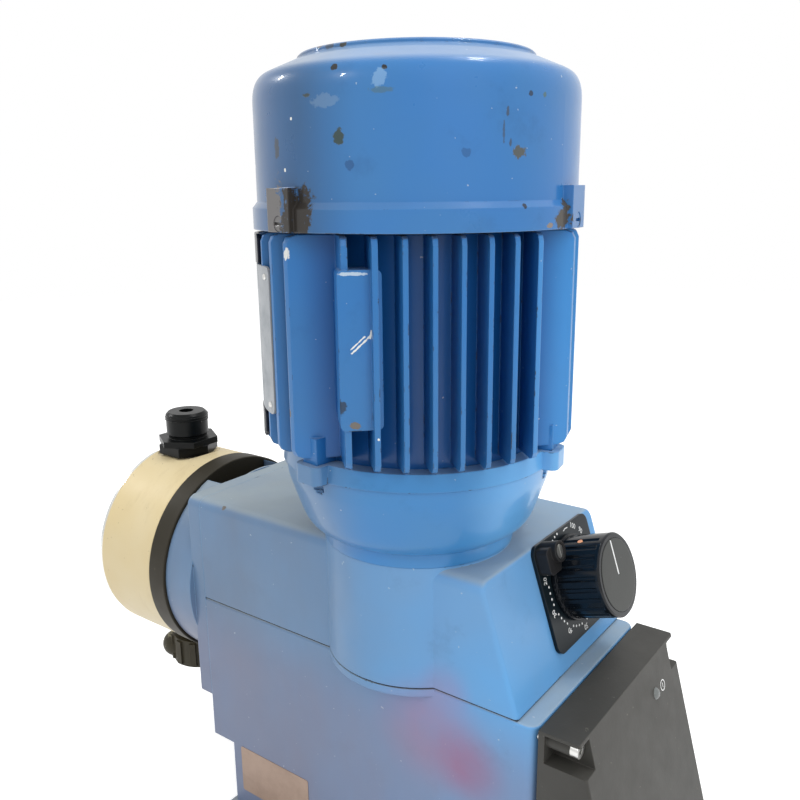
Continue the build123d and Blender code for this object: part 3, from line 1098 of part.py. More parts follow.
def knob_clamp():
    """Lock beside the knob, screwed to the dial plate."""
    plane = on_panel(CLAMP_S, DIAL_T, CLAMP_Y)
    body = extruded(plane, RectangleRounded(12.0, 11.0, 2.5), 5.5)
    body += extruded(on_panel(CLAMP_BOSS_S, DIAL_T, CLAMP_BOSS_Y), Circle(4.4), CLAMP_H)
    body -= extruded(on_panel(KNOB_S, 0, KNOB_Y), Circle(KNOB_SKIRT_R + KNOB_GAP), 30)
    body -= extruded(on_panel(CLAMP_BOSS_S, 0, CLAMP_BOSS_Y), Circle(1.5 + SCREW_GAP), CLAMP_H + 3)
    body -= extruded(on_panel(CLAMP_BOSS_S, DIAL_T + CLAMP_H - 2, CLAMP_BOSS_Y), Circle(2.9 + SCREW_GAP), 3)
    return body


def clamp_screw():
    at = DIAL_T + CLAMP_H - 2
    body = extruded(on_panel(CLAMP_BOSS_S, DIAL_T + 0.2, CLAMP_BOSS_Y), Circle(1.5), at - DIAL_T)
    body += extruded(on_panel(CLAMP_BOSS_S, at, CLAMP_BOSS_Y), Circle(2.9), 1.6)
    body -= extruded(on_panel(CLAMP_BOSS_S, at + 0.9, CLAMP_BOSS_Y), Rectangle(0.8, 6), 1)
    return body


# ---------------------------------------------------------------- control cover
def cover_outline(inset):
    """Side view of the cover; the front leans out on its way down."""
    back = LOWER_RIGHT_X + COVER_GASKET_T
    front = LOWER_RIGHT_X + COVER_TOP_D - inset
    lean = tan(radians(COVER_SLOPE))
    top = COVER_TOP_Z - inset
    knee = front + lean * (COVER_TOP_Z - COVER_KINK_Z)
    low = COVER_BOTTOM_Z + inset
    return [(back, top), (front + lean * inset, top), (knee, COVER_KINK_Z + inset / 2),
            (knee - 9, low), (back, low)]


def cover_screw_places():
    """Cover screws as (y, z): two under the cover's top, two above its bottom."""
    heights = (COVER_TOP_Z - COVER_SCREW_DROP, COVER_BOTTOM_Z + COVER_SCREW_RISE)
    return [(side * COVER_SCREW_Y, z) for z in heights for side in (1, -1)]


def control_cover():
    body = prism_y(cover_outline(0), HALF_W)
    upright = body.edges().filter_by(lambda e: abs(e.center().Y) > HALF_W - 0.1 and e.center().X > LOWER_RIGHT_X + 10)
    body = fillet(upright, 1.2)
    inside = [(x - (0 if i in (1, 2, 3) else 2), z) for i, (x, z) in enumerate(cover_outline(COVER_WALL))]
    body -= prism_y(inside, HALF_W - POCKET)
    reach = LOWER_RIGHT_X + COVER_GASKET_T + 2.5
    for y, z in cover_screw_places():
        side = 1 if y > 0 else -1
        upper = z > SPLIT_Z - 20
        z0, z1 = (COVER_TOP_Z - POCKET, COVER_TOP_Z - 1.2) if upper else (COVER_BOTTOM_Z - 1, COVER_BOTTOM_Z + POCKET)
        body -= block(reach, COVER_SCREW_HEAD_X + COVER_CUT, min(side * (HALF_W - POCKET_D), side * (HALF_W + 1)),
                      max(side * (HALF_W - POCKET_D), side * (HALF_W + 1)), z0, z1)
        body += disc_x(3.1, reach - 0.5, COVER_SCREW_HEAD_X, y, z)
        body -= disc_x(COVER_SCREW_R + SCREW_GAP, LOWER_RIGHT_X, COVER_SCREW_HEAD_X + 1, y, z)
    body -= led_bore(LED_R + RUN_GAP)
    for z in GLAND_Z:
        body -= disc_y(GLAND_R, HALF_W - POCKET - 1, HALF_W + 1, GLAND_X, z)
    return body


def on_slope(drop, lift=0.0, y=0.0):
    """A plane on the cover's leaning front, drop below its upper edge."""
    t = radians(COVER_SLOPE)
    origin = Vector(LOWER_RIGHT_X + COVER_TOP_D + drop * sin(t), y, COVER_TOP_Z - drop * cos(t))
    normal = Vector(cos(t), 0, sin(t))
    return Plane(origin=origin + normal * lift, x_dir=(0, 1, 0), z_dir=normal)


def led_bore(r):
    return extruded(on_slope(LED_DROP, -COVER_WALL - 2, LED_Y), Circle(r), COVER_WALL + 3)


def status_led():
    body = extruded(on_slope(LED_DROP, -COVER_WALL - 1, LED_Y), Circle(LED_R), COVER_WALL + 1)
    dome = on_slope(LED_DROP, -LED_R * 0.6, LED_Y) * Sphere(LED_R * 1.16)
    keep = extruded(on_slope(LED_DROP, 0, LED_Y), Circle(LED_R), 2)
    return body + (dome & keep)


def cover_gasket():
    x0, x1 = LOWER_RIGHT_X, LOWER_RIGHT_X + COVER_GASKET_T
    inset = 2.0
    body = block(x0, x1, -HALF_W + inset, HALF_W - inset, COVER_BOTTOM_Z + inset, COVER_TOP_Z - inset)
    body -= block(x0 - 1, x1 + 1, -WINDOW_Y, WINDOW_Y, WINDOW_BOTTOM_Z, WINDOW_TOP_Z)
    for y, z in cover_screw_places():
        body -= disc_x(COVER_SCREW_R + SCREW_GAP, x0 - 1, x1 + 1, y, z)
    return body


def cover_screws():
    """Long screws through the sleeves in the cover's corner pockets."""
    seat = COVER_SCREW_HEAD_X
    length = seat - LOWER_RIGHT_X + 10.5
    one = Rot(0, 90, 0) * screw(COVER_SCREW_R, 3.1, 3.2, length, 1.4)
    return Compound([Pos(seat, y, z) * one for y, z in cover_screw_places()])


def control_board():
    """Circuit board on the wall of the lower half."""
    x = LOWER_RIGHT_X - BOARD_DROP
    face = x + BOARD_T
    half = WINDOW_Y - BOARD_EDGE
    body = block(x, face, -half, half, WINDOW_BOTTOM_Z + BOARD_EDGE, WINDOW_TOP_Z - BOARD_EDGE)
    for y in (-WINDOW_Y + BOARD_FOOT_IN, WINDOW_Y - BOARD_FOOT_IN):
        for z in (WINDOW_BOTTOM_Z + BOARD_FOOT_IN, WINDOW_TOP_Z - BOARD_FOOT_IN):
            body += disc_x(BOARD_FOOT_R, LOWER_RIGHT_X - 8, x, y, z)
    body += block(face, face + RELAY[1], -RELAY[0], RELAY[0], RELAY[2], RELAY[3])
    body += block(face, face + CHOKE[2], CHOKE[0], CHOKE[1], CHOKE[3], CHOKE[4])
    return body


def cable_glands():
    glands = []
    for z in GLAND_Z:
        body = disc_y(GLAND_R - RUN_GAP, HALF_W - POCKET, HALF_W, GLAND_X, z)
        nut = Pos(GLAND_X, HALF_W + 2, z) * Rot(90, 0, 0) * RegularPolygon(GLAND_R + 2, 6, major_radius=False)
        body += extrude(nut, 2, both=True)
        dome = Plane(origin=(GLAND_X, HALF_W + 4, z), x_dir=(1, 0, 0), z_dir=(0, 1, 0))
        body += loft([dome * Circle(GLAND_R + 1), dome.offset(9) * Circle(GLAND_R - 1.5)])
        body -= disc_y(GLAND_BORE_R, HALF_W - POCKET - 1, HALF_W + 20, GLAND_X, z)
        glands.append(body)
    return Compound(glands)


# ---------------------------------------------------------------- writing the pieces
PIECES = {
    "gear_housing_upper": gear_housing_upper, "gear_housing_lower": gear_housing_lower,
    "housing_gasket": housing_gasket, "housing_screws": housing_screws,
    "base_foot": base_foot, "base_screws": base_screws,
    "motor_housing": motor_housing, "lower_end_shield": lower_end_shield,
    "upper_end_shield": upper_end_shield, "shield_screws": shield_screws, "motor_screws": motor_screws,
    "fan_cowl": fan_cowl, "cowl_screws": cowl_screws,
    "lower_bearing": lambda: bearing(LOWER_BEARING_Z), "upper_bearing": lambda: bearing(UPPER_BEARING_Z),
    "shaft_seal": shaft_seal, "worm_bush": worm_bush, "stator_core": stator_core,
    "rotor_core": rotor_core, "cooling_fan": cooling_fan, "worm_shaft": worm_shaft,
    "worm_wheel": worm_wheel, "eccentric_shaft": eccentric_shaft, "wheel_bearings": wheel_bearings,
    "push_rod": push_rod, "return_spring": return_spring, "rod_bushing": rod_bushing, "rod_seal": rod_seal,
    "diaphragm_core": diaphragm_core, "diaphragm": diaphragm,
    "lantern": lantern, "lantern_screws": lantern_screws, "backplate": backplate,
    "dosing_head": dosing_head, "head_cover": head_cover, "head_screws": head_screws,
    "discharge_valve_body": discharge_valve_body, "discharge_seat": lambda: seat_ring(DISCHARGE_SEAT_Z),
    "discharge_ball": lambda: valve_ball(DISCHARGE_SEAT_Z),
    "discharge_seal": lambda: flat_seal(SPLIT_Z + VALVE_FLAT),
    "suction_valve_body": suction_valve_body, "suction_seat": lambda: seat_ring(SUCTION_SEAT_Z),
    "suction_ball": lambda: valve_ball(SUCTION_SEAT_Z),
    "suction_seal": lambda: flat_seal(SPLIT_Z - VALVE_FLAT - SEAL_T),
    "suction_union_nut": suction_union_nut, "suction_insert": suction_insert, "suction_gasket": suction_gasket,
    "dial_plate": dial_plate, "spindle_bushing": spindle_bushing, "knob": knob, "knob_cap": knob_cap,
    "adjusting_spindle": adjusting_spindle, "knob_clamp": knob_clamp, "clamp_screw": clamp_screw,
    "control_cover": control_cover, "status_led": status_led, "cover_gasket": cover_gasket,
    "cover_screws": cover_screws, "control_board": control_board, "cable_glands": cable_glands,
}

os.makedirs("parts", exist_ok=True)
for name, make in PIECES.items():
    export_step(make(), f"parts/{name}.step")
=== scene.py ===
"""Finishes, markings and stage of a diaphragm metering pump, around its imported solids."""
import math

import bmesh
import bpy
from mathutils import Matrix, Vector


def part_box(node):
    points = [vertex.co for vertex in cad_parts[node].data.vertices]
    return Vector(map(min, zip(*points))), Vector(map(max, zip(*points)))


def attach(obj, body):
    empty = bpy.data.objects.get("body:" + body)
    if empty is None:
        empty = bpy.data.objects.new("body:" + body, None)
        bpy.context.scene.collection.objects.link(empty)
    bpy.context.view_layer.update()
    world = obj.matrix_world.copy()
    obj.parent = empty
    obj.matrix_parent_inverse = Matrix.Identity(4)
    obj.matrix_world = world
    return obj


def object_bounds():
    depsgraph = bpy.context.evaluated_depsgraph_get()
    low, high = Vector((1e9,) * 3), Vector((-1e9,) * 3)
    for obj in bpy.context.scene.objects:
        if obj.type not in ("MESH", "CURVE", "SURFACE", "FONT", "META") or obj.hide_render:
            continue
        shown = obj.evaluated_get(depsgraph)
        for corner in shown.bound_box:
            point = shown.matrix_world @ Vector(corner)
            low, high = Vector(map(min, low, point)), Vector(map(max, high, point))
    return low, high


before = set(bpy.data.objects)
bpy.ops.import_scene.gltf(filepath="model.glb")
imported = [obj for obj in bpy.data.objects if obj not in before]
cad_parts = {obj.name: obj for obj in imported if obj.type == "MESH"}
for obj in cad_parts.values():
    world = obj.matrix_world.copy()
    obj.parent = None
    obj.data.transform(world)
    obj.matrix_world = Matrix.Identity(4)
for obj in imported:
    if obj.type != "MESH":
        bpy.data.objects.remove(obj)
CAD_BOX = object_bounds()

bl_info = {
    "name": "Diaphragm Metering Pump",
    "version": (1, 0, 0),
    "blender": (4, 5, 0),
    "location": "View3D > Sidebar > Pump",
    "description": "Finishes, dial markings, plates and stage of a motor-driven metering pump",
    "category": "Object",
}

MM = 0.001
MOTOR_AXIS = Vector((0.016, -0.01965, 0.0))
PANEL_FOOT = Vector((0.0817, 0.0, 0.122))
PANEL_TILT = math.atan2(81.7 - 64.9, 173.5 - 122.0)
KNOB_Y = 14.3
KNOB_S = 33.2
DIAL_TOP = 1.6
KNOB_FACE = 22.4
COVER_EDGE = Vector((0.1065, 0.0, 0.122))
COVER_SLOPE = math.radians(14.8)
KNOB_R = 17.5
VALVE_X = -157.0
THREAD_R = 11.45
THREAD_PITCH = 1.35
THREAD_TOP_DROP = 1.9
THREAD_FOOT_DROP = 5.0
# dial: angles in degrees about the knob's axis, 0 across the panel and 90 up it
SCALE_START = 92.0
SCALE_STEP = 3.6
UPPER_NUMBERS = {80: 16.0, 90: 41.6, 100: 59.5}
HUNDRED_INSET = 0.0006
DOT_STEP = 7.2
DOT_STEPS = 40
BRACKET = ((16.9, 52.9), (18.5, 53.4), (20.6, 53.2))
BRACKET_W = 0.42
BRACKET_OVERLAP = 0.4
# knob: pointer line on its cap and dot on its side
POINTER_UP = 7.4
POINTER_SIZE = (0.86, 14.6)
DOT_ANGLE = math.radians(106.5)
DOT_LIFT = 12.4
DOT_R = 1.1
# motor: plate and bands bent round the fins, as radii, angles and heights
PLATE_INNER = 62.3
PLATE_OUTER = 63.35
PLATE_ANGLES = (-156.0, -114.0)
PLATE_HEIGHTS = (233.9, 289.8)
BAND_OUTER = 63.65
BAND_ANGLES = (-150.0, -125.0)
BAND_HEIGHTS = ((222.6, 233.4), (290.3, 301.2))
RIVET_ANGLES = (-152.5, -117.5)
RIVET_HEIGHTS = (237.5, 286.0)
# foot: bare label, its middle and its size
LABEL_AT = Vector((-0.0505, -0.049, 0.0335))
LABEL_SIZE = (45.0, 25.0)
# control cover: power mark, down its front and across
MARK_DROP = 15.0
MARK_Y = 29.2
MARK_R = 2.4


def tone(red, green, blue):
    """Linear colour from screen values of 0 to 255."""
    return tuple((v / 255.0 / 12.92) if v <= 10 else ((v / 255.0 + 0.055) / 1.055) ** 2.4
                 for v in (red, green, blue))


def tinted(colour, share, lift=0.0):
    return tuple(min(1.0, c * share + lift) for c in colour)


# ------------------------------------------------------------------ places
def slant_place(foot, tilt, up, lift, y):
    """Matrix of a spot on a leaning face: X across it, Y up it, Z away from it; millimetres."""
    normal = Vector((math.cos(tilt), 0.0, math.sin(tilt)))
    rise = Vector((-math.sin(tilt), 0.0, math.cos(tilt)))
    across = Vector((0.0, 1.0, 0.0))
    return axes_matrix(across, rise, normal, foot + rise * up * MM + normal * lift * MM + across * y * MM)


def panel_place(s, lift, y):
    return slant_place(PANEL_FOOT, PANEL_TILT, s, lift, y)


def cover_place(drop, lift, y):
    return slant_place(COVER_EDGE, COVER_SLOPE, -drop, lift, y)


def knob_side_place(angle, lift):
    """Matrix of a spot on the knob's side: Z outwards from the knob's axis."""
    centre = panel_place(KNOB_S, lift, KNOB_Y)
    across, rise, normal = (Vector(centre.col[i][:3]) for i in range(3))
    outward = across * math.cos(angle) + rise * math.sin(angle)
    along = rise * math.cos(angle) - across * math.sin(angle)
    return axes_matrix(along, normal, outward, centre.translation + outward * KNOB_R * MM)


def motor_place(angle, radius, z):
    """Matrix of a spot on the motor's side: X along the girth, Y up, Z outwards."""
    outward = Vector((math.cos(angle), math.sin(angle), 0.0))
    along = Vector((-math.sin(angle), math.cos(angle), 0.0))
    at = MOTOR_AXIS + outward * radius * MM + Vector((0.0, 0.0, z * MM))
    return axes_matrix(along, Vector((0.0, 0.0, 1.0)), outward, at)


def axes_matrix(x_axis, y_axis, z_axis, at):
    rows = [[x_axis[i], y_axis[i], z_axis[i], at[i]] for i in range(3)]
    return Matrix(rows + [[0.0, 0.0, 0.0, 1.0]])


# ------------------------------------------------------------------ meshes
def new_object(name, mesh, material=None):
    obj = bpy.data.objects.new(name, mesh)
    bpy.context.scene.collection.objects.link(obj)
    if material is not None:
        mesh.materials.clear()
        mesh.materials.append(material)
    return obj


def mesh_from(name, bm):
    bmesh.ops.remove_doubles(bm, verts=bm.verts, dist=1e-7)
    bmesh.ops.recalc_face_normals(bm, faces=bm.faces)
    for face in bm.faces:
        face.smooth = False
    mesh = bpy.data.meshes.new(name)
    bm.to_mesh(mesh)
    bm.free()
    return mesh


def add_outline(bm, points, z0, z1, matrix):
    """A closed plate from an outline, z0 to z1, all in millimetres."""
    low = [bm.verts.new(matrix @ Vector((x * MM, y * MM, z0 * MM))) for x, y in points]
    high = [bm.verts.new(matrix @ Vector((x * MM, y * MM, z1 * MM))) for x, y in points]
    bm.faces.new(low[::-1])
    bm.faces.new(high)
    for i in range(len(points)):
        j = (i + 1) % len(points)
        bm.faces.new((low[i], low[j], high[j], high[i]))


def rounded_rectangle(width, height, radius, steps=6):
    points = []
    for cx, cy, start in ((1, 1, 0), (-1, 1, 90), (-1, -1, 180), (1, -1, 270)):
        for k in range(steps + 1):
            a = math.radians(start + 90.0 * k / steps)
            points.append((cx * (width / 2 - radius) + radius * math.cos(a),
                           cy * (height / 2 - radius) + radius * math.sin(a)))
    return points


def circle_points(radius, steps):
    turn = 2 * math.pi / steps
    return [(radius * math.cos(turn * k), radius * math.sin(turn * k)) for k in range(steps)]


def join_columns(bm, columns, closed=False):
    """Walls between neighbouring columns of four vertices, capped at both ends unless closed."""
    ahead = columns[1:] + columns[:1] if closed else columns[1:]
    for here, there in zip(columns, ahead):
        for i in range(4):
            j = (i + 1) % 4
            bm.faces.new((here[i], there[i], there[j], here[j]))
    if not closed:
        bm.faces.new(columns[0])
        bm.faces.new(columns[-1][::-1])


def add_ring(bm, outer, inner, z0, z1, matrix, steps):
    """A flat ring, in millimetres."""
    columns = []
    for k in range(steps):
        a = 2 * math.pi * k / steps
        c, s = math.cos(a) * MM, math.sin(a) * MM
        columns.append([bm.verts.new(matrix @ Vector((r * c, r * s, z * MM)))
                        for r, z in ((inner, z0), (outer, z0), (outer, z1), (inner, z1))])
    join_columns(bm, columns, closed=True)


def add_bent_plate(bm, inner, outer, start, end, z0, z1, corner, steps=48):
    """A plate bent round the motor's axis, with rounded corners; degrees and millimetres."""
    columns = []
    middle, half = (z0 + z1) / 2, (z1 - z0) / 2
    length = math.radians(end - start) * outer
    for k in range(steps + 1):
        share = 0.5 - 0.5 * math.cos(math.pi * k / steps)
        along = min(share, 1.0 - share) * length
        drop = 0.0 if along >= corner else corner - math.sqrt(corner ** 2 - (corner - along) ** 2)
        angle = math.radians(start + (end - start) * share)
        c, s = math.cos(angle), math.sin(angle)
        columns.append([bm.verts.new(MOTOR_AXIS + Vector((r * c, r * s, middle + side * (half - drop))) * MM)
                        for r, side in ((inner, -1), (outer, -1), (outer, 1), (inner, 1))])
    join_columns(bm, columns)


def add_thread(bm, radius, pitch, z0, z1, steps=40):
    """Raised helical ridge of a screw thread round the discharge valve."""
    count = int((z1 - z0) / pitch * steps)
    columns = []
    for k in range(count + 1):
        angle = 2 * math.pi * k / steps
        c, s = math.cos(angle), math.sin(angle)
        z = z0 + pitch * k / steps
        columns.append([bm.verts.new(Vector((VALVE_X + r * c, r * s, z + h)) * MM)
                        for r, h in ((radius - 0.35, -0.48 * pitch), (radius + 0.42, -0.06 * pitch),
                                     (radius + 0.42, 0.06 * pitch), (radius - 0.35, 0.48 * pitch))])
    join_columns(bm, columns)


def taken_mesh(holder):
    """The mesh that an object comes to, taken from it before it is removed."""
    bpy.context.view_layer.update()
    mesh = bpy.data.meshes.new_from_object(holder.evaluated_get(bpy.context.evaluated_depsgraph_get()))
    bpy.data.objects.remove(holder)
    return mesh


def text_mesh(text, size, depth):
    """Letters as a mesh, centred on the origin, in metres."""
    curve = bpy.data.curves.new("dial_text", "FONT")
    curve.body = text
    curve.size = size * MM
    curve.extrude = depth * MM / 2
    curve.align_x = "CENTER"
    curve.align_y = "CENTER"
    curve.resolution_u = 3
    holder = bpy.data.objects.new("dial_text", curve)
    bpy.context.scene.collection.objects.link(holder)
    mesh = taken_mesh(holder)
    bpy.data.curves.remove(curve)
    return mesh


def add_text(bm, text, size, depth, matrix):
    mesh = text_mesh(text, size, depth)
    mesh.transform(matrix)
    bm.from_mesh(mesh)
    bpy.data.meshes.remove(mesh)


# ------------------------------------------------------------------ repeats by geometry nodes
def repeat_tree(name, head_radius, head_height, material):
    """A node tree that sets one domed stud on every point of the object's mesh."""
    tree = bpy.data.node_groups.new(name, "GeometryNodeTree")
    face = tree.interface
    face.new_socket("Geometry", in_out="INPUT", socket_type="NodeSocketGeometry")
    radius = face.new_socket("Stud radius", in_out="INPUT", socket_type="NodeSocketFloat")
    height = face.new_socket("Stud height", in_out="INPUT", socket_type="NodeSocketFloat")
    radius.default_value = head_radius
    height.default_value = head_height
    face.new_socket("Geometry", in_out="OUTPUT", socket_type="NodeSocketGeometry")
    kinds = {"start": "NodeGroupInput", "end": "NodeGroupOutput", "stud": "GeometryNodeMeshCone",
             "top": "ShaderNodeMath", "copies": "GeometryNodeInstanceOnPoints",
             "align": "FunctionNodeAlignRotationToVector", "normal": "GeometryNodeInputNormal",
             "real": "GeometryNodeRealizeInstances", "dress": "GeometryNodeSetMaterial"}
    nodes = {key: tree.nodes.new(kind) for key, kind in kinds.items()}
    nodes["stud"].inputs["Vertices"].default_value = 20
    nodes["stud"].inputs["Side Segments"].default_value = 2
    nodes["stud"].fill_type = "NGON"
    nodes["top"].operation = "MULTIPLY"
    nodes["top"].inputs[1].default_value = 0.72
    nodes["align"].axis = "Z"
    nodes["dress"].inputs["Material"].default_value = material
    for source, out, target, into in (
            ("start", "Stud radius", "stud", "Radius Bottom"), ("start", "Stud radius", "top", 0),
            ("top", 0, "stud", "Radius Top"), ("start", "Stud height", "stud", "Depth"),
            ("normal", 0, "align", "Vector"), ("start", "Geometry", "copies", "Points"),
            ("stud", "Mesh", "copies", "Instance"), ("align", 0, "copies", "Rotation"),
            ("copies", 0, "real", 0), ("real", 0, "dress", "Geometry"), ("dress", 0, "end", 0)):
        tree.links.new(nodes[source].outputs[out], nodes[target].inputs[into])
    return tree, {"radius": radius.identifier, "height": height.identifier}


def studs(name, places, radius, height, material):
    """Studs at each place, standing along its Z axis, as one plain mesh."""
    bm = bmesh.new()
    for place in places:
        corners = [place @ Vector((x * MM * 0.01, y * MM * 0.01, 0.0)) for x, y in ((1, 0), (0, 1), (-1, -1))]
        centre = bm.verts.new(place.translation)
        ring = [bm.verts.new(c) for c in corners]
        for i in range(3):
            bm.faces.new((centre, ring[i], ring[(i + 1) % 3]))
    seeds = bpy.data.meshes.new(name + "_seeds")
    bm.to_mesh(seeds)
    bm.free()
    # only the middle vertex of each seed carries a stud
    keep = seeds.attributes.new("carries", "BOOLEAN", "POINT")
    keep.data.foreach_set("value", [i % 4 == 0 for i in range(len(seeds.vertices))])
    holder = new_object(name + "_seeds", seeds)
    tree, sockets = repeat_tree(name + "_repeat", radius * MM, height * MM, material)
    pick = tree.nodes.new("GeometryNodeInputNamedAttribute")
    pick.data_type = "BOOLEAN"
    pick.inputs["Name"].default_value = "carries"
    spread = next(n for n in tree.nodes if n.bl_idname == "GeometryNodeInstanceOnPoints")
    tree.links.new(pick.outputs[0], spread.inputs["Selection"])
    modifier = holder.modifiers.new("repeat", "NODES")
    modifier.node_group = tree
    modifier[sockets["radius"]] = radius * MM
    modifier[sockets["height"]] = height * MM
    mesh = taken_mesh(holder)
    mesh.name = name
    return new_object(name, mesh, material)


# ------------------------------------------------------------------ finishes
def bare_tree(block):
    """The node tree of a material or a world, emptied."""
    block.use_nodes = True
    block.node_tree.nodes.clear()
    return block.node_tree


class Finish:
    """One material, built node by node on the piece's own coordinates."""

    def __init__(self, name):
        self.material = bpy.data.materials.new(name)
        self.tree = bare_tree(self.material)
        output = self.tree.nodes.new("ShaderNodeOutputMaterial")
        self.shader = self.tree.nodes.new("ShaderNodeBsdfPrincipled")
        self.tree.links.new(self.shader.outputs[0], output.inputs["Surface"])
        self.place = self.tree.nodes.new("ShaderNodeTexCoord").outputs["Object"]
        self.wander = None

    def feed(self, target, value):
        if isinstance(value, bpy.types.NodeSocket):
            self.tree.links.new(value, target)
        elif isinstance(value, (tuple, list)) and len(value) == 3 and target.type == "RGBA":
            target.default_value = (*value, 1.0)
        else:
            target.default_value = value

    def node(self, kind, values=None, **settings):
        """A shader node with its settings, and its inputs fed by name or number."""
        node = self.tree.nodes.new("ShaderNode" + kind)
        for key, value in settings.items():
            setattr(node, key, value)
        for key, value in (values or {}).items():
            self.feed(node.inputs[key], value)
        return node

    def maths(self, operation, a, b=0.0, clamp=False):
        return self.node("Math", {0: a, 1: b}, operation=operation, use_clamp=clamp).outputs[0]

    def noise(self, scale, detail=4.0, roughness=0.55, stretch=(1.0, 1.0, 1.0), shift=0.0):
        place = self.node("Mapping", {"Location": (shift, shift * 0.7, shift * 1.3), "Scale": stretch,
                                      "Vector": self.place})
        return self.node("TexNoise", {"Scale": scale, "Detail": detail, "Roughness": roughness,
                                      "Vector": place.outputs[0]}).outputs["Fac"]

    def step(self, value, low, high):
        """Smooth 0 to 1 as value goes from low to high."""
        limits = {"From Min": low, "From Max": high, "Value": value}
        return self.node("MapRange", limits, interpolation_type="SMOOTHSTEP").outputs["Result"]

    def fall(self, value, low, high):
        """Smooth 1 to 0 as value goes from low to high."""
        return self.maths("SUBTRACT", 1.0, self.step(value, low, high))

    def spread(self, value, low, high):
        """Maps 0..1 to low..high."""
        return self.maths("ADD", self.maths("MULTIPLY", value, high - low), low)

    def mix(self, factor, first, second):
        return self.node("Mix", {"Factor": factor, 6: first, 7: second}, data_type="RGBA").outputs[2]

    def blend(self, mask, amount, first, second):
        return self.mix(self.maths("MULTIPLY", mask, amount), first, second)

    def part(self, axis):
        return self.node("SeparateXYZ", {0: self.place}).outputs[axis]

    def facing(self, axis):
        """How far the face looks along an axis, from -1 to 1."""
        normal = self.node("NewGeometry").outputs["True Normal"]
        return self.node("SeparateXYZ", {0: normal}).outputs[axis]

    def edge(self, radius):
        """Near 1 on sharp edges, 0 on faces."""
        rounded = self.node("Bevel", {"Radius": radius}, samples=6).outputs[0]
        normal = self.node("NewGeometry").outputs["True Normal"]
        return self.step(self.maths("SUBTRACT", 1.0, self.vector("DOT_PRODUCT", rounded, normal)), 0.02, 0.2)

    def near(self, point, radius, tall=1.0):
        """A ragged spot round a point of the part, in metres; tall stretches it upwards."""
        if self.wander is None:
            fine = self.maths("SUBTRACT", self.noise(650.0, 4.0, 0.6), 0.5)
            self.wander = self.maths("ADD", fine, self.maths("SUBTRACT", self.noise(170.0, 2.0), 0.5))
        away = self.vector("SUBTRACT", self.place, point)
        if tall != 1.0:
            away = self.vector("MULTIPLY", away, (1.0, 1.0, 1.0 / tall))
        length = self.vector("LENGTH", away)
        size = self.maths("ADD", length, self.maths("MULTIPLY", self.wander, radius * 1.4))
        return self.fall(size, radius * 0.75, radius)

    def haze(self, point, radius, amount):
        """A soft cloudy spot round a point of the part, used for painted reflections."""
        length = self.vector("LENGTH", self.vector("SUBTRACT", self.place, point))
        inner = self.fall(length, radius * 0.15, radius)
        cloudy = self.spread(self.noise(38.0, 5.0, 0.6), amount * 0.4, amount * 1.5)
        return self.maths("MULTIPLY", inner, cloudy, clamp=True)

    def scratch(self, point, direction, reach, width):
        """A ragged stroke through a point, along a direction."""
        away = self.vector("SUBTRACT", self.place, point)
        along = self.maths("ABSOLUTE", self.vector("DOT_PRODUCT", away, direction))
        length = self.vector("LENGTH", away)
        across = self.maths("SQRT", self.maths("SUBTRACT", self.maths("MULTIPLY", length, length),
                                                self.maths("MULTIPLY", along, along)))
        ragged = self.maths("MULTIPLY", self.maths("SUBTRACT", self.noise(900.0, 3.0), 0.5), width * 2.4)
        across = self.maths("ADD", across, ragged)
        line = self.fall(across, width * 0.6, width)
        return self.maths("MULTIPLY", line, self.fall(along, reach * 0.9, reach))

    def vector(self, operation, a, b=None):
        node = self.node("VectorMath", {0: a} if b is None else {0: a, 1: b}, operation=operation)
        return node.outputs["Value" if operation in ("LENGTH", "DOT_PRODUCT") else "Vector"]

    def reach(self, direction, origin):
        """Distance of the surface from an origin, measured along a direction, in metres."""
        return self.vector("DOT_PRODUCT", self.vector("SUBTRACT", self.place, origin), direction)

    def relief(self, height, distance=0.0002, strength=0.5, rounding=0.0):
        bump = self.node("Bump", {"Strength": strength, "Distance": distance, "Height": height})
        if rounding:
            self.feed(bump.inputs["Normal"], self.node("Bevel", {"Radius": rounding}, samples=6).outputs[0])
        for name in ("Normal", "Coat Normal"):
            self.feed(self.shader.inputs[name], bump.outputs[0])

    def done(self, colour, roughness, metallic=0.0, specular=0.5, coat=0.0):
        for name, value in (("Base Color", colour), ("Roughness", roughness), ("Metallic", metallic),
                            ("Specular IOR Level", specular), ("Coat Weight", coat),
                            ("Coat Roughness", 0.05)):
            self.feed(self.shader.inputs[name], value)
        return self.material


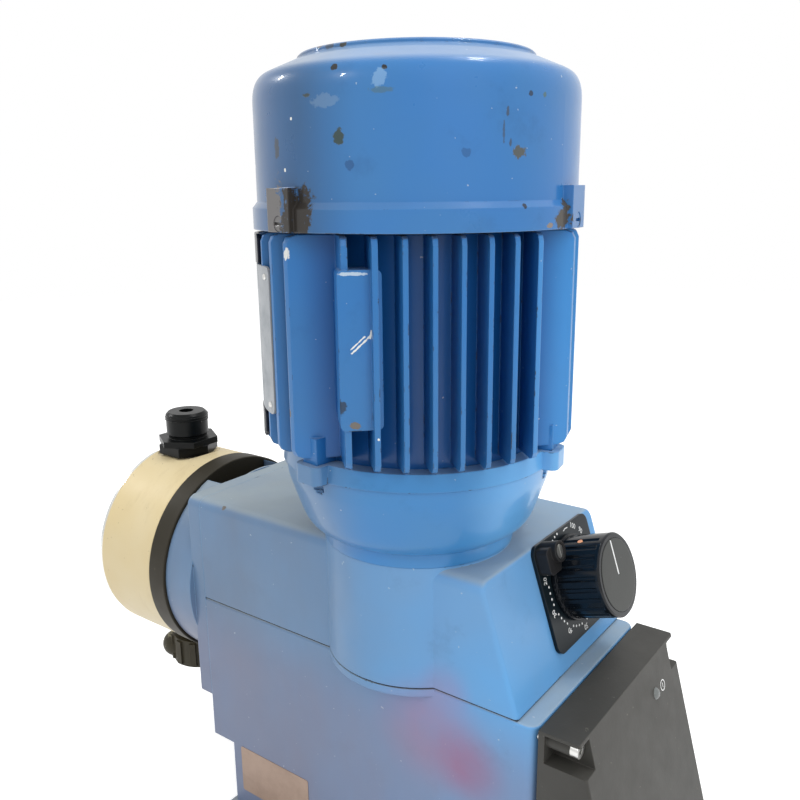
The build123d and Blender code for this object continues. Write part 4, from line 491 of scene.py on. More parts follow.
def enamel(name, colour, dull, marks=(), painted_light_fades=(), gloss=0.3, dust=0.2, worn=0.5, coat=0.3,
           primer=(0.035, 0.033, 0.030), dust_tint=(0.42, 0.47, 0.50), root_shade=None, painted_reflections=(), scratches=()):
    """Blue machine enamel: cloudy, dusty on top faces, worn to the primer at its edges and at given marks.
    It also carries painted light and shade, painted reflections and a painted highlight along its edges.
    """
    f = Finish(name)
    cloud = f.step(f.noise(14.0, 3.0), 0.3, 0.7)
    base = f.mix(cloud, colour, dull)
    grime = f.step(f.noise(55.0, 5.0, 0.65), 0.56, 0.75)
    base = f.blend(grime, 0.22, base, tinted(colour, 0.45))
    # painted light and shade: each fade makes the paint lighter or darker towards one side of the part
    for direction, origin, low, high, tint, amount in painted_light_fades:
        side = f.step(f.reach(direction, origin), low, high)
        patchy = f.spread(f.noise(24.0, 4.0, 0.6, (1.0, 1.0, 0.4), 3.1), amount * 0.6, amount * 1.3)
        base = f.mix(f.maths("MULTIPLY", side, patchy, clamp=True), base, tint)
    # partly painted shade: the fins' flanks turn darker and more saturated towards their roots
    if root_shade is not None:
        inner, outer, tint = root_shade
        level = f.vector("MULTIPLY", f.vector("SUBTRACT", f.place, tuple(MOTOR_AXIS)), (1.0, 1.0, 0.0))
        root_shade_mask = f.fall(f.vector("LENGTH", level), inner, outer)
        base = f.mix(root_shade_mask, base, tint)
    top = f.step(f.facing(2), 0.55, 0.95)
    dusty = f.maths("MULTIPLY", top, f.spread(f.noise(30.0, 4.0), dust * 0.6, dust * 1.4))
    base = f.mix(dusty, base, dust_tint)
    specks = f.step(f.noise(420.0, 2.0), 0.745, 0.77)
    base = f.blend(specks, 0.5, base, (0.5, 0.56, 0.6))
    chipped = f.step(f.noise(130.0, 5.0, 0.7), 0.62 - 0.1 * worn, 0.66 - 0.1 * worn)
    rim = f.maths("MULTIPLY", f.edge(0.0009), chipped)
    # painted highlight: a paler, brighter blue along all sharp edges
    pale = f.maths("MULTIPLY", f.edge(0.0006), 0.3)
    base = f.mix(pale, base, tinted(colour, 1.5, 0.08))
    base = f.mix(rim, base, primer)
    bare = rim
    for point, radius, tint, amount, tall, bares in marks:
        spot = f.near(point, radius, tall=tall)
        base = f.mix(spot if amount >= 1.0 else f.maths("MULTIPLY", spot, amount), base, tint)
        if bares:
            bare = f.maths("MAXIMUM", bare, spot)
    # painted reflections: soft tinted clouds laid on the paint
    for point, radius, tint, amount in painted_reflections:
        base = f.mix(f.haze(point, radius, amount), base, tint)
    for point, direction, reach, width, tint in scratches:
        base = f.mix(f.scratch(point, direction, reach, width), base, tint)
    rough = f.spread(f.noise(90.0, 4.0), gloss * 0.8, gloss * 1.35)
    rough = f.maths("MAXIMUM", rough, f.maths("MULTIPLY", bare, 0.6))
    rough = f.maths("ADD", rough, f.maths("MULTIPLY", dusty, 0.35), clamp=True)
    orange_peel = f.noise(260.0, 2.0)
    height = f.maths("SUBTRACT", f.maths("MULTIPLY", orange_peel, 0.25), bare)
    f.relief(height, 0.00018, 0.45, rounding=0.0007)
    return f.done(base, rough, specular=0.3, coat=coat)


def moulding(name, colour, roughness, grain=900.0, depth=0.25, dirt=0.3, coat=0.0,
             dust_tint=(0.30, 0.30, 0.29), marks=(), specular=0.22):
    """Moulded plastic with a fine grain and a little dust."""
    f = Finish(name)
    cloud = f.step(f.noise(38.0, 4.0), 0.35, 0.75)
    base = f.blend(cloud, dirt, colour, tinted(colour, 1.25, 0.01))
    specks = f.step(f.noise(330.0, 3.0), 0.70, 0.74)
    base = f.blend(specks, dirt * 0.8, base, dust_tint)
    worn = f.maths("MULTIPLY", f.edge(0.0006), f.spread(f.noise(160.0, 3.0), 0.0, 0.55))
    base = f.blend(worn, dirt, base, dust_tint)
    for point, radius, tint, amount, tall, _bares in marks:
        base = f.blend(f.near(point, radius, tall=tall), amount, base, tint)
    rough = f.spread(f.noise(120.0, 3.0), roughness * 0.85, min(1.0, roughness * 1.2))
    f.relief(f.noise(grain, 2.0), 0.0001, depth, rounding=0.0005)
    return f.done(base, rough, specular=specular, coat=coat)


def aged_cream(name, colour):
    """Pale head plastic with yellowing, brown streaks and rubbed dirt."""
    f = Finish(name)
    cloud = f.step(f.noise(9.0, 4.0), 0.3, 0.7)
    base = f.mix(cloud, colour, (colour[0] * 0.93, colour[1] * 0.86, colour[2] * 0.68))
    streak = f.step(f.noise(60.0, 5.0, 0.7, (1.0, 0.35, 0.35)), 0.58, 0.78)
    base = f.blend(streak, 0.3, base, (0.36, 0.26, 0.14))
    rim = f.maths("MULTIPLY", f.edge(0.0012), f.spread(f.noise(90.0, 4.0), 0.1, 0.8))
    base = f.blend(rim, 0.5, base, (0.30, 0.22, 0.12))
    spots = f.step(f.noise(300.0, 2.0), 0.71, 0.74)
    base = f.blend(spots, 0.5, base, (0.22, 0.16, 0.10))
    rough = f.spread(f.noise(70.0, 3.0), 0.34, 0.52)
    f.relief(f.noise(220.0, 3.0), 0.0001, 0.2, rounding=0.0006)
    return f.done(base, rough)


def machined(name, colour, roughness, stretch=(1.0, 1.0, 1.0), stain=(0.2, 0.19, 0.17)):
    """Bare metal with turning marks and a little tarnish."""
    f = Finish(name)
    lines = f.noise(700.0, 2.0, 0.5, stretch)
    tarnish = f.step(f.noise(45.0, 5.0, 0.65), 0.45, 0.8)
    base = f.blend(tarnish, 0.35, colour, stain)
    turned = f.spread(lines, roughness * 0.75, roughness * 1.25)
    rough = f.maths("ADD", turned, f.maths("MULTIPLY", tarnish, 0.15))
    f.relief(lines, 0.00004, 0.35, rounding=0.0003)
    return f.done(base, rough, metallic=1.0)


def laminated(name, colour, pitch=0.0009):
    """Stacked iron sheets seen edge on."""
    f = Finish(name)
    bands = f.maths("FRACT", f.maths("DIVIDE", f.part(2), pitch))
    gap = f.fall(f.maths("ABSOLUTE", f.maths("SUBTRACT", bands, 0.5)), 0.36, 0.48)
    rust = f.step(f.noise(80.0, 5.0), 0.55, 0.75)
    base = f.mix(gap, tinted(colour, 0.3), colour)
    base = f.blend(rust, 0.4, base, (0.10, 0.045, 0.02))
    f.relief(gap, 0.0001, 0.6)
    return f.done(base, f.spread(rust, 0.45, 0.75), metallic=0.7)


def elastic(name, colour):
    f = Finish(name)
    base = f.mix(f.step(f.noise(120.0, 3.0), 0.4, 0.8), colour, tinted(colour, 2.2, 0.01))
    f.relief(f.noise(600.0, 2.0), 0.00008, 0.3)
    return f.done(base, f.spread(f.noise(80.0, 3.0), 0.65, 0.9))


def circuit(name):
    """Green board with pale tracks."""
    f = Finish(name)
    cells = f.node("TexBrick", {"Scale": 240.0, "Mortar Size": 0.03, "Color1": (0.01, 0.13, 0.05),
                                "Color2": (0.015, 0.16, 0.07), "Mortar": (0.05, 0.30, 0.12),
                                "Vector": f.place})
    return f.done(cells.outputs["Color"], f.spread(f.noise(300.0), 0.3, 0.45))


def print_ink(name, colour, patchy=0.3):
    """Printed marking, a little worn."""
    f = Finish(name)
    base = f.blend(f.step(f.noise(1500.0, 3.0), 0.5, 0.75), patchy, colour,
                 tinted(colour, 0.45))
    return f.done(base, f.spread(f.noise(300.0), 0.45, 0.65))


def bare_label(name, colour, edge_tint):
    """Plain plate or paper label without print, grubby at its borders."""
    f = Finish(name)
    cloud = f.step(f.noise(60.0, 5.0, 0.7), 0.35, 0.75)
    base = f.blend(cloud, 0.5, colour, edge_tint)
    f.relief(f.noise(500.0, 2.0), 0.00005, 0.3)
    return f.done(base, f.spread(cloud, 0.35, 0.6))


def lamp_lens(name, colour):
    f = Finish(name)
    base = f.mix(f.noise(200.0), colour, tinted(colour, 0.7))
    f.shader.inputs["Transmission Weight"].default_value = 0.25
    return f.done(base, f.spread(f.noise(300.0), 0.15, 0.25))


FINISH = {}


# ------------------------------------------------------------------ settings
def colour_field(label, text, value):
    return bpy.props.FloatVectorProperty(name=label, description=text, subtype="COLOR", size=3,
                                         min=0.0, max=1.0, default=value)


def length_field(label, text, value, low, high):
    return bpy.props.FloatProperty(name=label, description=text, unit="LENGTH", subtype="DISTANCE",
                                   min=low, max=high, default=value, precision=5)


class PumpPaint(bpy.types.PropertyGroup):
    """Colours of the pump's finishes."""

    cowl: colour_field("Fan cowl", "Enamel of the fan cowl", (0.026, 0.160, 0.440))
    cowl_dull: colour_field("Fan cowl, dull", "Faded areas of the fan cowl", (0.036, 0.165, 0.390))
    motor: colour_field("Motor", "Enamel of the finned frame and its end shields", (0.020, 0.150, 0.420))
    motor_dull: colour_field("Motor, dull", "Faded areas of the motor", (0.030, 0.155, 0.380))
    shield: colour_field("End shield", "Enamel of the end shield under the fins", (0.030, 0.190, 0.480))
    shield_dull: colour_field("End shield, dull", "Faded areas of the end shield", (0.045, 0.200, 0.440))
    casting: colour_field("Gear housing", "Enamel of the gear housing", (0.105, 0.330, 0.650))
    casting_dull: colour_field("Gear housing, dull", "Faded areas of the housing", (0.135, 0.310, 0.560))
    head: colour_field("Dosing head", "Plastic of the dosing head", (0.62, 0.53, 0.34))
    marks: colour_field("Dial print", "Numbers and dots of the dial", (0.82, 0.84, 0.84))
    wear: bpy.props.FloatProperty(name="Edge wear", description="How much enamel is chipped from edges",
                                  subtype="FACTOR", min=0.0, max=1.0, default=0.5)


class PumpDial(bpy.types.PropertyGroup):
    """Sizes of the dial's markings."""

    number_radius: length_field("Number circle", "Radius of the circle of numbers", 0.0228, 0.015, 0.03)
    number_height: length_field("Number height", "Height of the dial's numbers", 0.0033, 0.001, 0.006)
    dot_radius: length_field("Dot circle", "Radius of the circle of dots", 0.0206, 0.015, 0.03)
    dot_size: length_field("Dot size", "Radius of one dot", 0.00052, 0.0001, 0.002)


class PumpStage(bpy.types.PropertyGroup):
    """Light and view of the stage."""

    key: bpy.props.FloatProperty(name="Key light", description="Power of the large side light",
                                 unit="POWER", min=0.0, max=200.0, default=8.0)
    sky: bpy.props.FloatProperty(name="Sky", description="Strength of the even light from all sides",
                                 min=0.0, max=4.0, default=0.62)
    tubes: bpy.props.FloatProperty(name="Tubes", description="Power of each ceiling tube", unit="POWER",
                                   min=0.0, max=50.0, default=1.5)
    lens: bpy.props.FloatProperty(name="Lens", description="Focal length of the camera in millimetres",
                                  min=10.0, max=200.0, default=37.89)


# ------------------------------------------------------------------ operators
def dress(names, finish):
    for name in names:
        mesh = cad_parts[name].data
        mesh.materials.clear()
        mesh.materials.append(FINISH[finish])
        for polygon in mesh.polygons:
            polygon.material_index = 0


class PUMP_OT_finishes(bpy.types.Operator):
    """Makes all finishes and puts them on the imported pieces"""

    bl_idname = "pump.finishes"
    bl_label = "Finish the packed pieces"

    def execute(self, context):
        paint = context.scene.pump_paint
        blues = {key: (tuple(getattr(paint, key)), tuple(getattr(paint, key + "_dull")))
                 for key in ("cowl", "motor", "shield", "casting")}
        FINISH["cowl"] = enamel("cowl_enamel", *blues["cowl"], marks=COWL_MARKS, painted_light_fades=COWL_PAINTED_SHADE,
                                gloss=0.28, dust=0.3, worn=paint.wear, coat=0.4)
        FINISH["motor"] = enamel("motor_enamel", *blues["motor"], marks=MOTOR_MARKS, painted_light_fades=MOTOR_PAINTED_LIGHT,
                                 gloss=0.32, dust=0.2, worn=paint.wear, coat=0.15, root_shade=FIN_ROOT_SHADE,
                                 scratches=PAD_SCRATCHES)
        FINISH["shield"] = enamel("shield_enamel", *blues["shield"], painted_light_fades=SHIELD_PAINTED_LIGHT_AND_SHADE,
                                  gloss=0.3, dust=0.35, worn=paint.wear, coat=0.2)
        FINISH["casting"] = enamel("housing_enamel", *blues["casting"], marks=HOUSING_MARKS,
                                   painted_light_fades=HOUSING_PAINTED_SHADE_AND_REFLECTION, gloss=0.42, dust=0.6, worn=paint.wear * 0.6, coat=0.1,
                                   painted_reflections=HOUSING_PAINTED_REFLECTIONS, dust_tint=tone(160, 168, 166))
        FINISH["cream"] = aged_cream("head_plastic", tuple(paint.head))
        FINISH["black"] = moulding("black_moulding", (0.012, 0.012, 0.013), 0.42)
        FINISH["inside"] = moulding("inner_casting", (0.020, 0.024, 0.030), 0.6, dirt=0.4)
        FINISH["valve"] = moulding("valve_moulding", tone(6, 8, 8), 0.3, specular=0.16)
        FINISH["band"] = moulding("backplate_moulding", tone(40, 36, 26), 0.5, dust_tint=tone(90, 82, 66))
        FINISH["nut"] = moulding("nut_moulding", tone(54, 50, 38), 0.5, dirt=0.5,
                                 dust_tint=tone(120, 112, 90), marks=NUT_MARKS)
        FINISH["cover"] = moulding("cover_moulding", (0.044, 0.043, 0.039), 0.46, grain=700.0, depth=0.35,
                                   dirt=0.45, dust_tint=tone(120, 116, 108))
        FINISH["knob"] = moulding("knob_moulding", (0.003, 0.005, 0.008), 0.16, depth=0.08, dirt=0.06,
                                  specular=0.3)
        FINISH["knob_cap"] = moulding("knob_cap_moulding", (0.034, 0.037, 0.035), 0.32, grain=1300.0,
                                      depth=0.2)
        FINISH["grey"] = moulding("grey_moulding", (0.22, 0.20, 0.17), 0.5)
        FINISH["dial"] = moulding("dial_plate_black", (0.004, 0.009, 0.013), 0.34, depth=0.1, dirt=0.2)
        FINISH["steel"] = machined("turned_steel", (0.56, 0.56, 0.54), 0.3)
        FINISH["screw"] = machined("screw_steel", (0.62, 0.62, 0.60), 0.34)
        FINISH["plate_steel"] = machined("pressure_plate_steel", (0.66, 0.67, 0.66), 0.24, (0.08, 1.0, 1.0))
        FINISH["bronze"] = machined("wheel_bronze", (0.62, 0.40, 0.17), 0.32, stain=(0.24, 0.15, 0.07))
        FINISH["iron"] = laminated("core_sheets", (0.28, 0.28, 0.29))
        FINISH["rubber"] = elastic("seal_rubber", (0.010, 0.010, 0.011))
        FINISH["ptfe"] = moulding("seat_ptfe", (0.78, 0.78, 0.75), 0.4, dirt=0.15, dust_tint=(0.5, 0.5, 0.48))
        FINISH["ceramic"] = moulding("ball_ceramic", (0.80, 0.78, 0.72), 0.14, depth=0.05, dirt=0.1)
        FINISH["board"] = circuit("circuit_board")
        FINISH["lamp"] = lamp_lens("lamp_lens", (0.22, 0.24, 0.24))
        FINISH["marks"] = print_ink("dial_print", tuple(paint.marks))
        FINISH["orange"] = print_ink("orange_dot", tone(245, 172, 128), 0.1)
        FINISH["plate"] = bare_label("bare_nameplate", tone(150, 155, 160), tone(100, 108, 116))
        # painted shade: the bands round the nameplate are near black where the motor's side turns from the
        # light
        FINISH["plate_band"] = moulding("nameplate_band", tone(10, 18, 34), 0.35, coat=0.3)
        FINISH["label"] = bare_label("bare_paper_label", (0.34, 0.235, 0.175), (0.22, 0.16, 0.13))
        for finish, names in NODE_FINISH.items():
            dress(names, finish)
        return {"FINISHED"}


NODE_FINISH = {
    "cowl": ("fan_cowl", "cowl_screws"),
    "motor": ("motor_housing",),
    "shield": ("lower_end_shield", "shield_screws"),
    "inside": ("upper_end_shield",),
    "casting": ("gear_housing_upper", "gear_housing_lower", "lantern", "base_foot"),
    "cream": ("dosing_head",),
    "black": ("suction_valve_body", "knob_clamp", "cooling_fan", "cable_glands"),
    "valve": ("discharge_valve_body",),
    "band": ("backplate",),
    "nut": ("suction_union_nut",),
    "cover": ("control_cover",),
    "knob": ("knob",),
    "knob_cap": ("knob_cap",),
    "grey": ("suction_insert",),
    "dial": ("dial_plate",),
    "steel": ("worm_shaft", "eccentric_shaft", "push_rod", "return_spring", "lower_bearing", "upper_bearing",
              "diaphragm_core", "adjusting_spindle"),
    "screw": ("motor_screws", "housing_screws", "base_screws", "lantern_screws",
              "head_screws", "cover_screws", "clamp_screw"),
    "plate_steel": ("head_cover",),
    "bronze": ("worm_wheel", "worm_bush", "wheel_bearings", "rod_bushing", "spindle_bushing"),
    "iron": ("stator_core", "rotor_core"),
    "rubber": ("housing_gasket", "cover_gasket", "discharge_seal", "suction_seal", "suction_gasket",
               "rod_seal", "shaft_seal"),
    "ptfe": ("diaphragm", "discharge_seat", "suction_seat"),
    "ceramic": ("discharge_ball", "suction_ball"),
    "board": ("control_board",),
    "lamp": ("status_led",),
}


# ------------------------------------------------------------------ marks of long use, painted light and shade
# A mark is its place and radius in metres, its tint, how much of it, its upward stretch, and whether
# it bares the metal. A fade, painted light or shade across a part, is a direction and an origin, where it
# starts and ends along it in metres, its tint and how much of it. A haze, a painted reflection, has no
# stretch, and a scratch a direction, a reach and a width.
RUST, SOOT, TAUPE = tone(56, 56, 50), tone(28, 30, 32), tone(106, 101, 95)
MOSS, CHALK, PITCH = tone(72, 98, 88), tone(222, 222, 216), tone(36, 32, 28)
SLATE, INDIGO = tone(72, 68, 62), tone(18, 62, 110)
REFLECTED_ROSE, REFLECTED_WINE = tone(160, 104, 130), tone(150, 66, 98)
LEFTWARDS = (-0.8056, -0.5925, 0.0)
RIGHTWARDS = (0.8056, 0.5925, 0.0)
DOWNWARDS = (0.0, 0.0, -1.0)
PAD_STROKE = (0.5250, 0.5250, 0.6700)
COWL_MARKS = [
    ((0.0175, -0.0645, 0.3641), 0.0018, RUST, 1.0, 0.5, True),
    ((0.0058, -0.0628, 0.3650), 0.0022, TAUPE, 0.8, 0.5, False),
    ((0.0116, -0.0643, 0.3644), 0.0026, RUST, 0.7, 0.5, False),
    ((0.0260, -0.0795, 0.3549), 0.0014, SOOT, 1.0, 0.8, True),
    ((0.0424, -0.0747, 0.3539), 0.0009, SOOT, 1.0, 0.9, True),
    ((0.0160, -0.0816, 0.3468), 0.0021, tone(50, 62, 64), 1.0, 0.4, True),
    ((0.0233, -0.0812, 0.3449), 0.0062, tone(150, 170, 182), 0.2, 0.35, False),
    ((0.0410, -0.0761, 0.3509), 0.0026, tone(165, 200, 228), 0.3, 1.3, False),
    ((0.0420, -0.0759, 0.3471), 0.0046, MOSS, 0.5, 0.25, False),
    ((0.0767, -0.0323, 0.3465), 0.0012, MOSS, 0.8, 1.0, False),
    ((0.0749, -0.0388, 0.3467), 0.0009, SOOT, 0.8, 1.0, False),
    ((-0.0007, -0.0793, 0.3306), 0.0017, RUST, 0.75, 2.6, False),
    ((0.0278, -0.0805, 0.3333), 0.0021, tone(44, 62, 62), 1.0, 1.4, True),
    ((0.0317, -0.0796, 0.3245), 0.0017, INDIGO, 0.6, 1.0, False),
    ((0.0635, -0.0594, 0.3281), 0.0015, INDIGO, 0.5, 1.0, False),
    ((-0.0250, -0.0661, 0.3254), 0.0011, CHALK, 1.0, 1.0, True),
    ((0.0080, -0.0811, 0.3399), 0.0006, CHALK, 1.0, 1.0, False),
    ((0.0036, -0.0804, 0.3235), 0.0006, CHALK, 1.0, 1.0, False),
    ((0.0714, -0.0474, 0.3408), 0.0007, RUST, 0.7, 2.5, False),
    ((0.0708, -0.0487, 0.3349), 0.0006, RUST, 0.6, 6.0, False),
    ((0.0720, -0.0462, 0.3310), 0.0007, RUST, 0.7, 2.5, False),
    ((0.0734, -0.0431, 0.3282), 0.0031, tone(75, 80, 80), 1.0, 0.8, True),
    ((0.0754, -0.0418, 0.3110), 0.0010, SOOT, 0.9, 1.0, True),
    ((-0.0008, -0.0829, 0.3103), 0.0060, TAUPE, 0.9, 2.0, False),
    ((0.0112, -0.0833, 0.3100), 0.0068, PITCH, 1.0, 1.4, True),
    ((0.0095, -0.0833, 0.3050), 0.0060, PITCH, 1.0, 0.8, True),
    ((0.0797, -0.0226, 0.3065), 0.0052, SLATE, 1.0, 0.8, True),
    ((0.0788, -0.0202, 0.3100), 0.0028, SLATE, 1.0, 1.2, True),
    ((0.0788, -0.0300, 0.3043), 0.0017, tone(130, 120, 114), 1.0, 0.7, True),
]
# painted shade: the cowl turns darker towards its left side
COWL_PAINTED_SHADE = [(LEFTWARDS, tuple(MOTOR_AXIS), 0.018, 0.044, tone(24, 54, 82), 0.62)]
# painted shade: the housing darker and greyer towards its left; painted reflection: greyer violet towards its
# bottom
HOUSING_PAINTED_SHADE_AND_REFLECTION = [(LEFTWARDS, (0.0, 0.0, 0.0), -0.035, 0.070, tone(98, 110, 128), 0.8),
                 (DOWNWARDS, (0.0, 0.0, 0.130), 0.0, 0.040, tone(118, 116, 136), 0.6)]
# painted shade on the end shield's left side and painted light on its right side
SHIELD_PAINTED_LIGHT_AND_SHADE = [(LEFTWARDS, tuple(MOTOR_AXIS), 0.018, 0.042, tone(88, 114, 140), 0.65),
                (RIGHTWARDS, tuple(MOTOR_AXIS), 0.012, 0.036, tone(112, 178, 232), 0.6)]
# painted light: the finned frame turns paler towards its right side
MOTOR_PAINTED_LIGHT = [(RIGHTWARDS, tuple(MOTOR_AXIS), 0.026, 0.050, tone(66, 148, 216), 0.6)]
# painted reflections: rose and wine clouds on the housing's lower front wall
HOUSING_PAINTED_REFLECTIONS = [((0.0500, -0.0490, 0.1250), 0.014, REFLECTED_ROSE, 0.22),
                 ((0.0418, -0.0490, 0.1023), 0.034, REFLECTED_ROSE, 0.42),
                 ((0.0600, -0.0490, 0.0930), 0.022, REFLECTED_WINE, 0.4)]
MOTOR_MARKS = [
    ((0.0320, -0.0802, 0.2896), 0.0050, tone(190, 205, 215), 0.8, 0.14, False),
    ((0.0321, -0.0801, 0.2372), 0.0022, TAUPE, 1.0, 0.6, True),
    ((0.0288, -0.0835, 0.2438), 0.0018, SOOT, 0.8, 1.6, False),
    ((0.0402, -0.0777, 0.2328), 0.0007, CHALK, 1.0, 1.0, False),
    ((0.0032, -0.0812, 0.2949), 0.0014, CHALK, 0.9, 1.6, True),
    ((0.0014, -0.0808, 0.2370), 0.0014, TAUPE, 1.0, 1.2, True),
]
# radii between which the fins' flanks turn from the darker tint to the paint; the darker tint stands in
# partly for painted shade between the fins
FIN_ROOT_SHADE = (0.0500, 0.0615, tone(22, 86, 150))
PAD_SCRATCHES = [((0.0338, -0.0784, 0.2656), PAD_STROKE, 0.0048, 0.00040, CHALK),
                 ((0.0330, -0.0792, 0.2662), PAD_STROKE, 0.0036, 0.00030, CHALK),
                 ((0.0362, -0.0760, 0.2690), (0.2, 0.2, 0.96), 0.0016, 0.00045, CHALK)]
HOUSING_MARKS = [((-0.0763, -0.0474, 0.1721), 0.0016, TAUPE, 1.0, 1.0, True)]
NUT_MARKS = [((-0.1687, -0.0109, 0.0539), 0.0060, tone(150, 145, 120), 0.8, 1.4, False)]


# ------------------------------------------------------------------ added pieces
def piece(name, bm, finish):
    return new_object(name, mesh_from(name, bm), FINISH[finish])


class PUMP_OT_dial(bpy.types.Operator):
    """Prints the numbers, the dots and the bracket on the dial plate"""

    bl_idname = "pump.dial"
    bl_label = "Print the dial"

    def execute(self, context):
        dial = context.scene.pump_dial
        centre = panel_place(KNOB_S, DIAL_TOP, KNOB_Y)
        bm = bmesh.new()
        for number in range(10, 101, 10):
            angle = math.radians(UPPER_NUMBERS.get(number, SCALE_START + number * SCALE_STEP))
            reach = dial.number_radius - (HUNDRED_INSET if number == 100 else 0.0)
            at = centre @ Matrix.Translation((reach * math.cos(angle), reach * math.sin(angle), 0.00004))
            turn = Matrix.Rotation(angle - math.pi / 2, 4, "Z")
            add_text(bm, str(number), dial.number_height / MM, 0.08, at @ turn)
        corners = [(y - KNOB_Y, s - KNOB_S) for y, s in BRACKET]
        for (xa, ya), (xb, yb) in zip(corners, corners[1:]):
            middle = centre @ Matrix.Translation(((xa + xb) / 2 * MM, (ya + yb) / 2 * MM, 0.0))
            lean = Matrix.Rotation(math.atan2(yb - ya, xb - xa), 4, "Z")
            length = math.hypot(xb - xa, yb - ya) + BRACKET_OVERLAP
            add_outline(bm, rounded_rectangle(length, BRACKET_W, 0.1, 2), -0.02, 0.08, middle @ lean)
        numbers = piece("dial_numbers", bm, "marks")
        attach(numbers, "pump")
        places = []
        for k in range(1, DOT_STEPS):
            angle = math.radians(SCALE_START + k * DOT_STEP)
            along, up = dial.dot_radius * math.cos(angle), dial.dot_radius * math.sin(angle)
            if k % 5:
                places.append(centre @ Matrix.Translation((along, up, 0.0)))
        dots = studs("dial_dots", places, dial.dot_size / MM, 0.06, FINISH["marks"])
        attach(dots, "pump")
        return {"FINISHED"}


class PUMP_OT_knob_marks(bpy.types.Operator):
    """Puts the white pointer line and the orange dot on the knob"""

    bl_idname = "pump.knob_marks"
    bl_label = "Mark the knob"

    def execute(self, context):
        bm = bmesh.new()
        place = panel_place(KNOB_S + POINTER_UP, KNOB_FACE + 0.7, KNOB_Y)
        add_outline(bm, rounded_rectangle(*POINTER_SIZE, 0.3, 3), 0.02, 0.34, place)
        line = piece("knob_pointer", bm, "marks")
        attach(line, "knob")
        bm = bmesh.new()
        add_outline(bm, circle_points(DOT_R, 20), -0.3, 0.12, knob_side_place(DOT_ANGLE, DOT_LIFT))
        dot = piece("knob_dot", bm, "orange")
        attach(dot, "knob")
        return {"FINISHED"}


class PUMP_OT_plates(bpy.types.Operator):
    """Adds the motor's bare nameplate with its rivets and the bare label on the housing's foot"""

    bl_idname = "pump.plates"
    bl_label = "Add the bare plates"

    def execute(self, context):
        bm = bmesh.new()
        add_bent_plate(bm, PLATE_INNER, PLATE_OUTER, *PLATE_ANGLES, *PLATE_HEIGHTS, 3.0)
        plate = piece("motor_nameplate", bm, "plate")
        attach(plate, "pump")
        bm = bmesh.new()
        # the bands' near-black finish is painted shade
        for heights in BAND_HEIGHTS:
            add_bent_plate(bm, PLATE_INNER, BAND_OUTER, *BAND_ANGLES, *heights, 2.0)
        bands = piece("nameplate_bands", bm, "plate_band")
        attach(bands, "pump")
        corners = [motor_place(math.radians(a), PLATE_OUTER, z) for a in RIVET_ANGLES for z in RIVET_HEIGHTS]
        rivets = studs("nameplate_rivets", corners, 1.3, 0.6, FINISH["screw"])
        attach(rivets, "pump")
        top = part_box("discharge_valve_body")[1].z / MM
        bm = bmesh.new()
        add_thread(bm, THREAD_R, THREAD_PITCH, top - THREAD_FOOT_DROP, top - THREAD_TOP_DROP)
        thread = piece("discharge_thread", bm, "valve")
        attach(thread, "pump")
        across, rise, outwards = Vector((1.0, 0.0, 0.0)), Vector((0.0, 0.0, 1.0)), Vector((0.0, -1.0, 0.0))
        wall = axes_matrix(across, rise, outwards, LABEL_AT)
        bm = bmesh.new()
        add_outline(bm, rounded_rectangle(*LABEL_SIZE, 1.0), 0.0, 0.25, wall)
        label = piece("foot_label", bm, "label")
        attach(label, "pump")
        return {"FINISHED"}


class PUMP_OT_cover_mark(bpy.types.Operator):
    """Prints the round power mark beside the lamp on the control cover"""

    bl_idname = "pump.cover_mark"
    bl_label = "Mark the control cover"

    def execute(self, context):
        place = cover_place(MARK_DROP, 0.0, MARK_Y)
        bm = bmesh.new()
        add_ring(bm, MARK_R, MARK_R - 0.4, -0.02, 0.05, place, 40)
        add_outline(bm, rounded_rectangle(0.4, 2.2, 0.15, 2), -0.02, 0.05, place)
        mark = piece("cover_mark", bm, "marks")
        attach(mark, "pump")
        return {"FINISHED"}


# ------------------------------------------------------------------ stage
CAMERA_AT = Vector((0.21141, -0.29799, 0.31661))
CAMERA_TURN = (36.33, 14.02, -0.596)
MIDDLE = (0.0, 0.0, 0.2)
# large lamps, left out of reflections: place, size, share of the key's power and colour
LAMPS = {
    "key": ((1.05, -0.55, 0.85), (0.9, 1.1), 1.0, (1.0, 0.98, 0.95)),
    "fill": ((-0.75, -0.95, 0.75), (0.5, 0.9), 0.28, (0.95, 0.98, 1.0)),
    "overhead": ((0.0, 0.1, 1.25), (0.9, 0.5), 0.6, (1.0, 1.0, 1.0)),
}
# ceiling tubes that glint on the cowl's shoulder: place and size
TUBES = [((-1.07, -0.29, 0.86), (0.03, 0.12)), ((-0.29, -1.08, 0.93), (0.03, 0.14)),
         ((0.41, 0.24, 1.46), (0.03, 0.14)), ((0.20, 0.42, 1.45), (0.03, 0.14))]
TUBE_AIM = (0.02, -0.05, 0.35)
GROUND_GLOW = 0.56


def stage_material(name, colour):
    """White ground that keeps its shadow, and reads white to the camera and in reflections."""
    material = bpy.data.materials.new(name)
    tree = bare_tree(material)
    matt = tree.nodes.new("ShaderNodeBsdfDiffuse")
    matt.inputs["Color"].default_value = (*colour, 1.0)
    glow = tree.nodes.new("ShaderNodeEmission")
    glow.inputs["Strength"].default_value = GROUND_GLOW
    both = tree.nodes.new("ShaderNodeAddShader")
    tree.links.new(matt.outputs[0], both.inputs[0])
    tree.links.new(glow.outputs[0], both.inputs[1])
    split_by_ray(tree, matt, both, "ShaderNodeOutputMaterial")
    return material


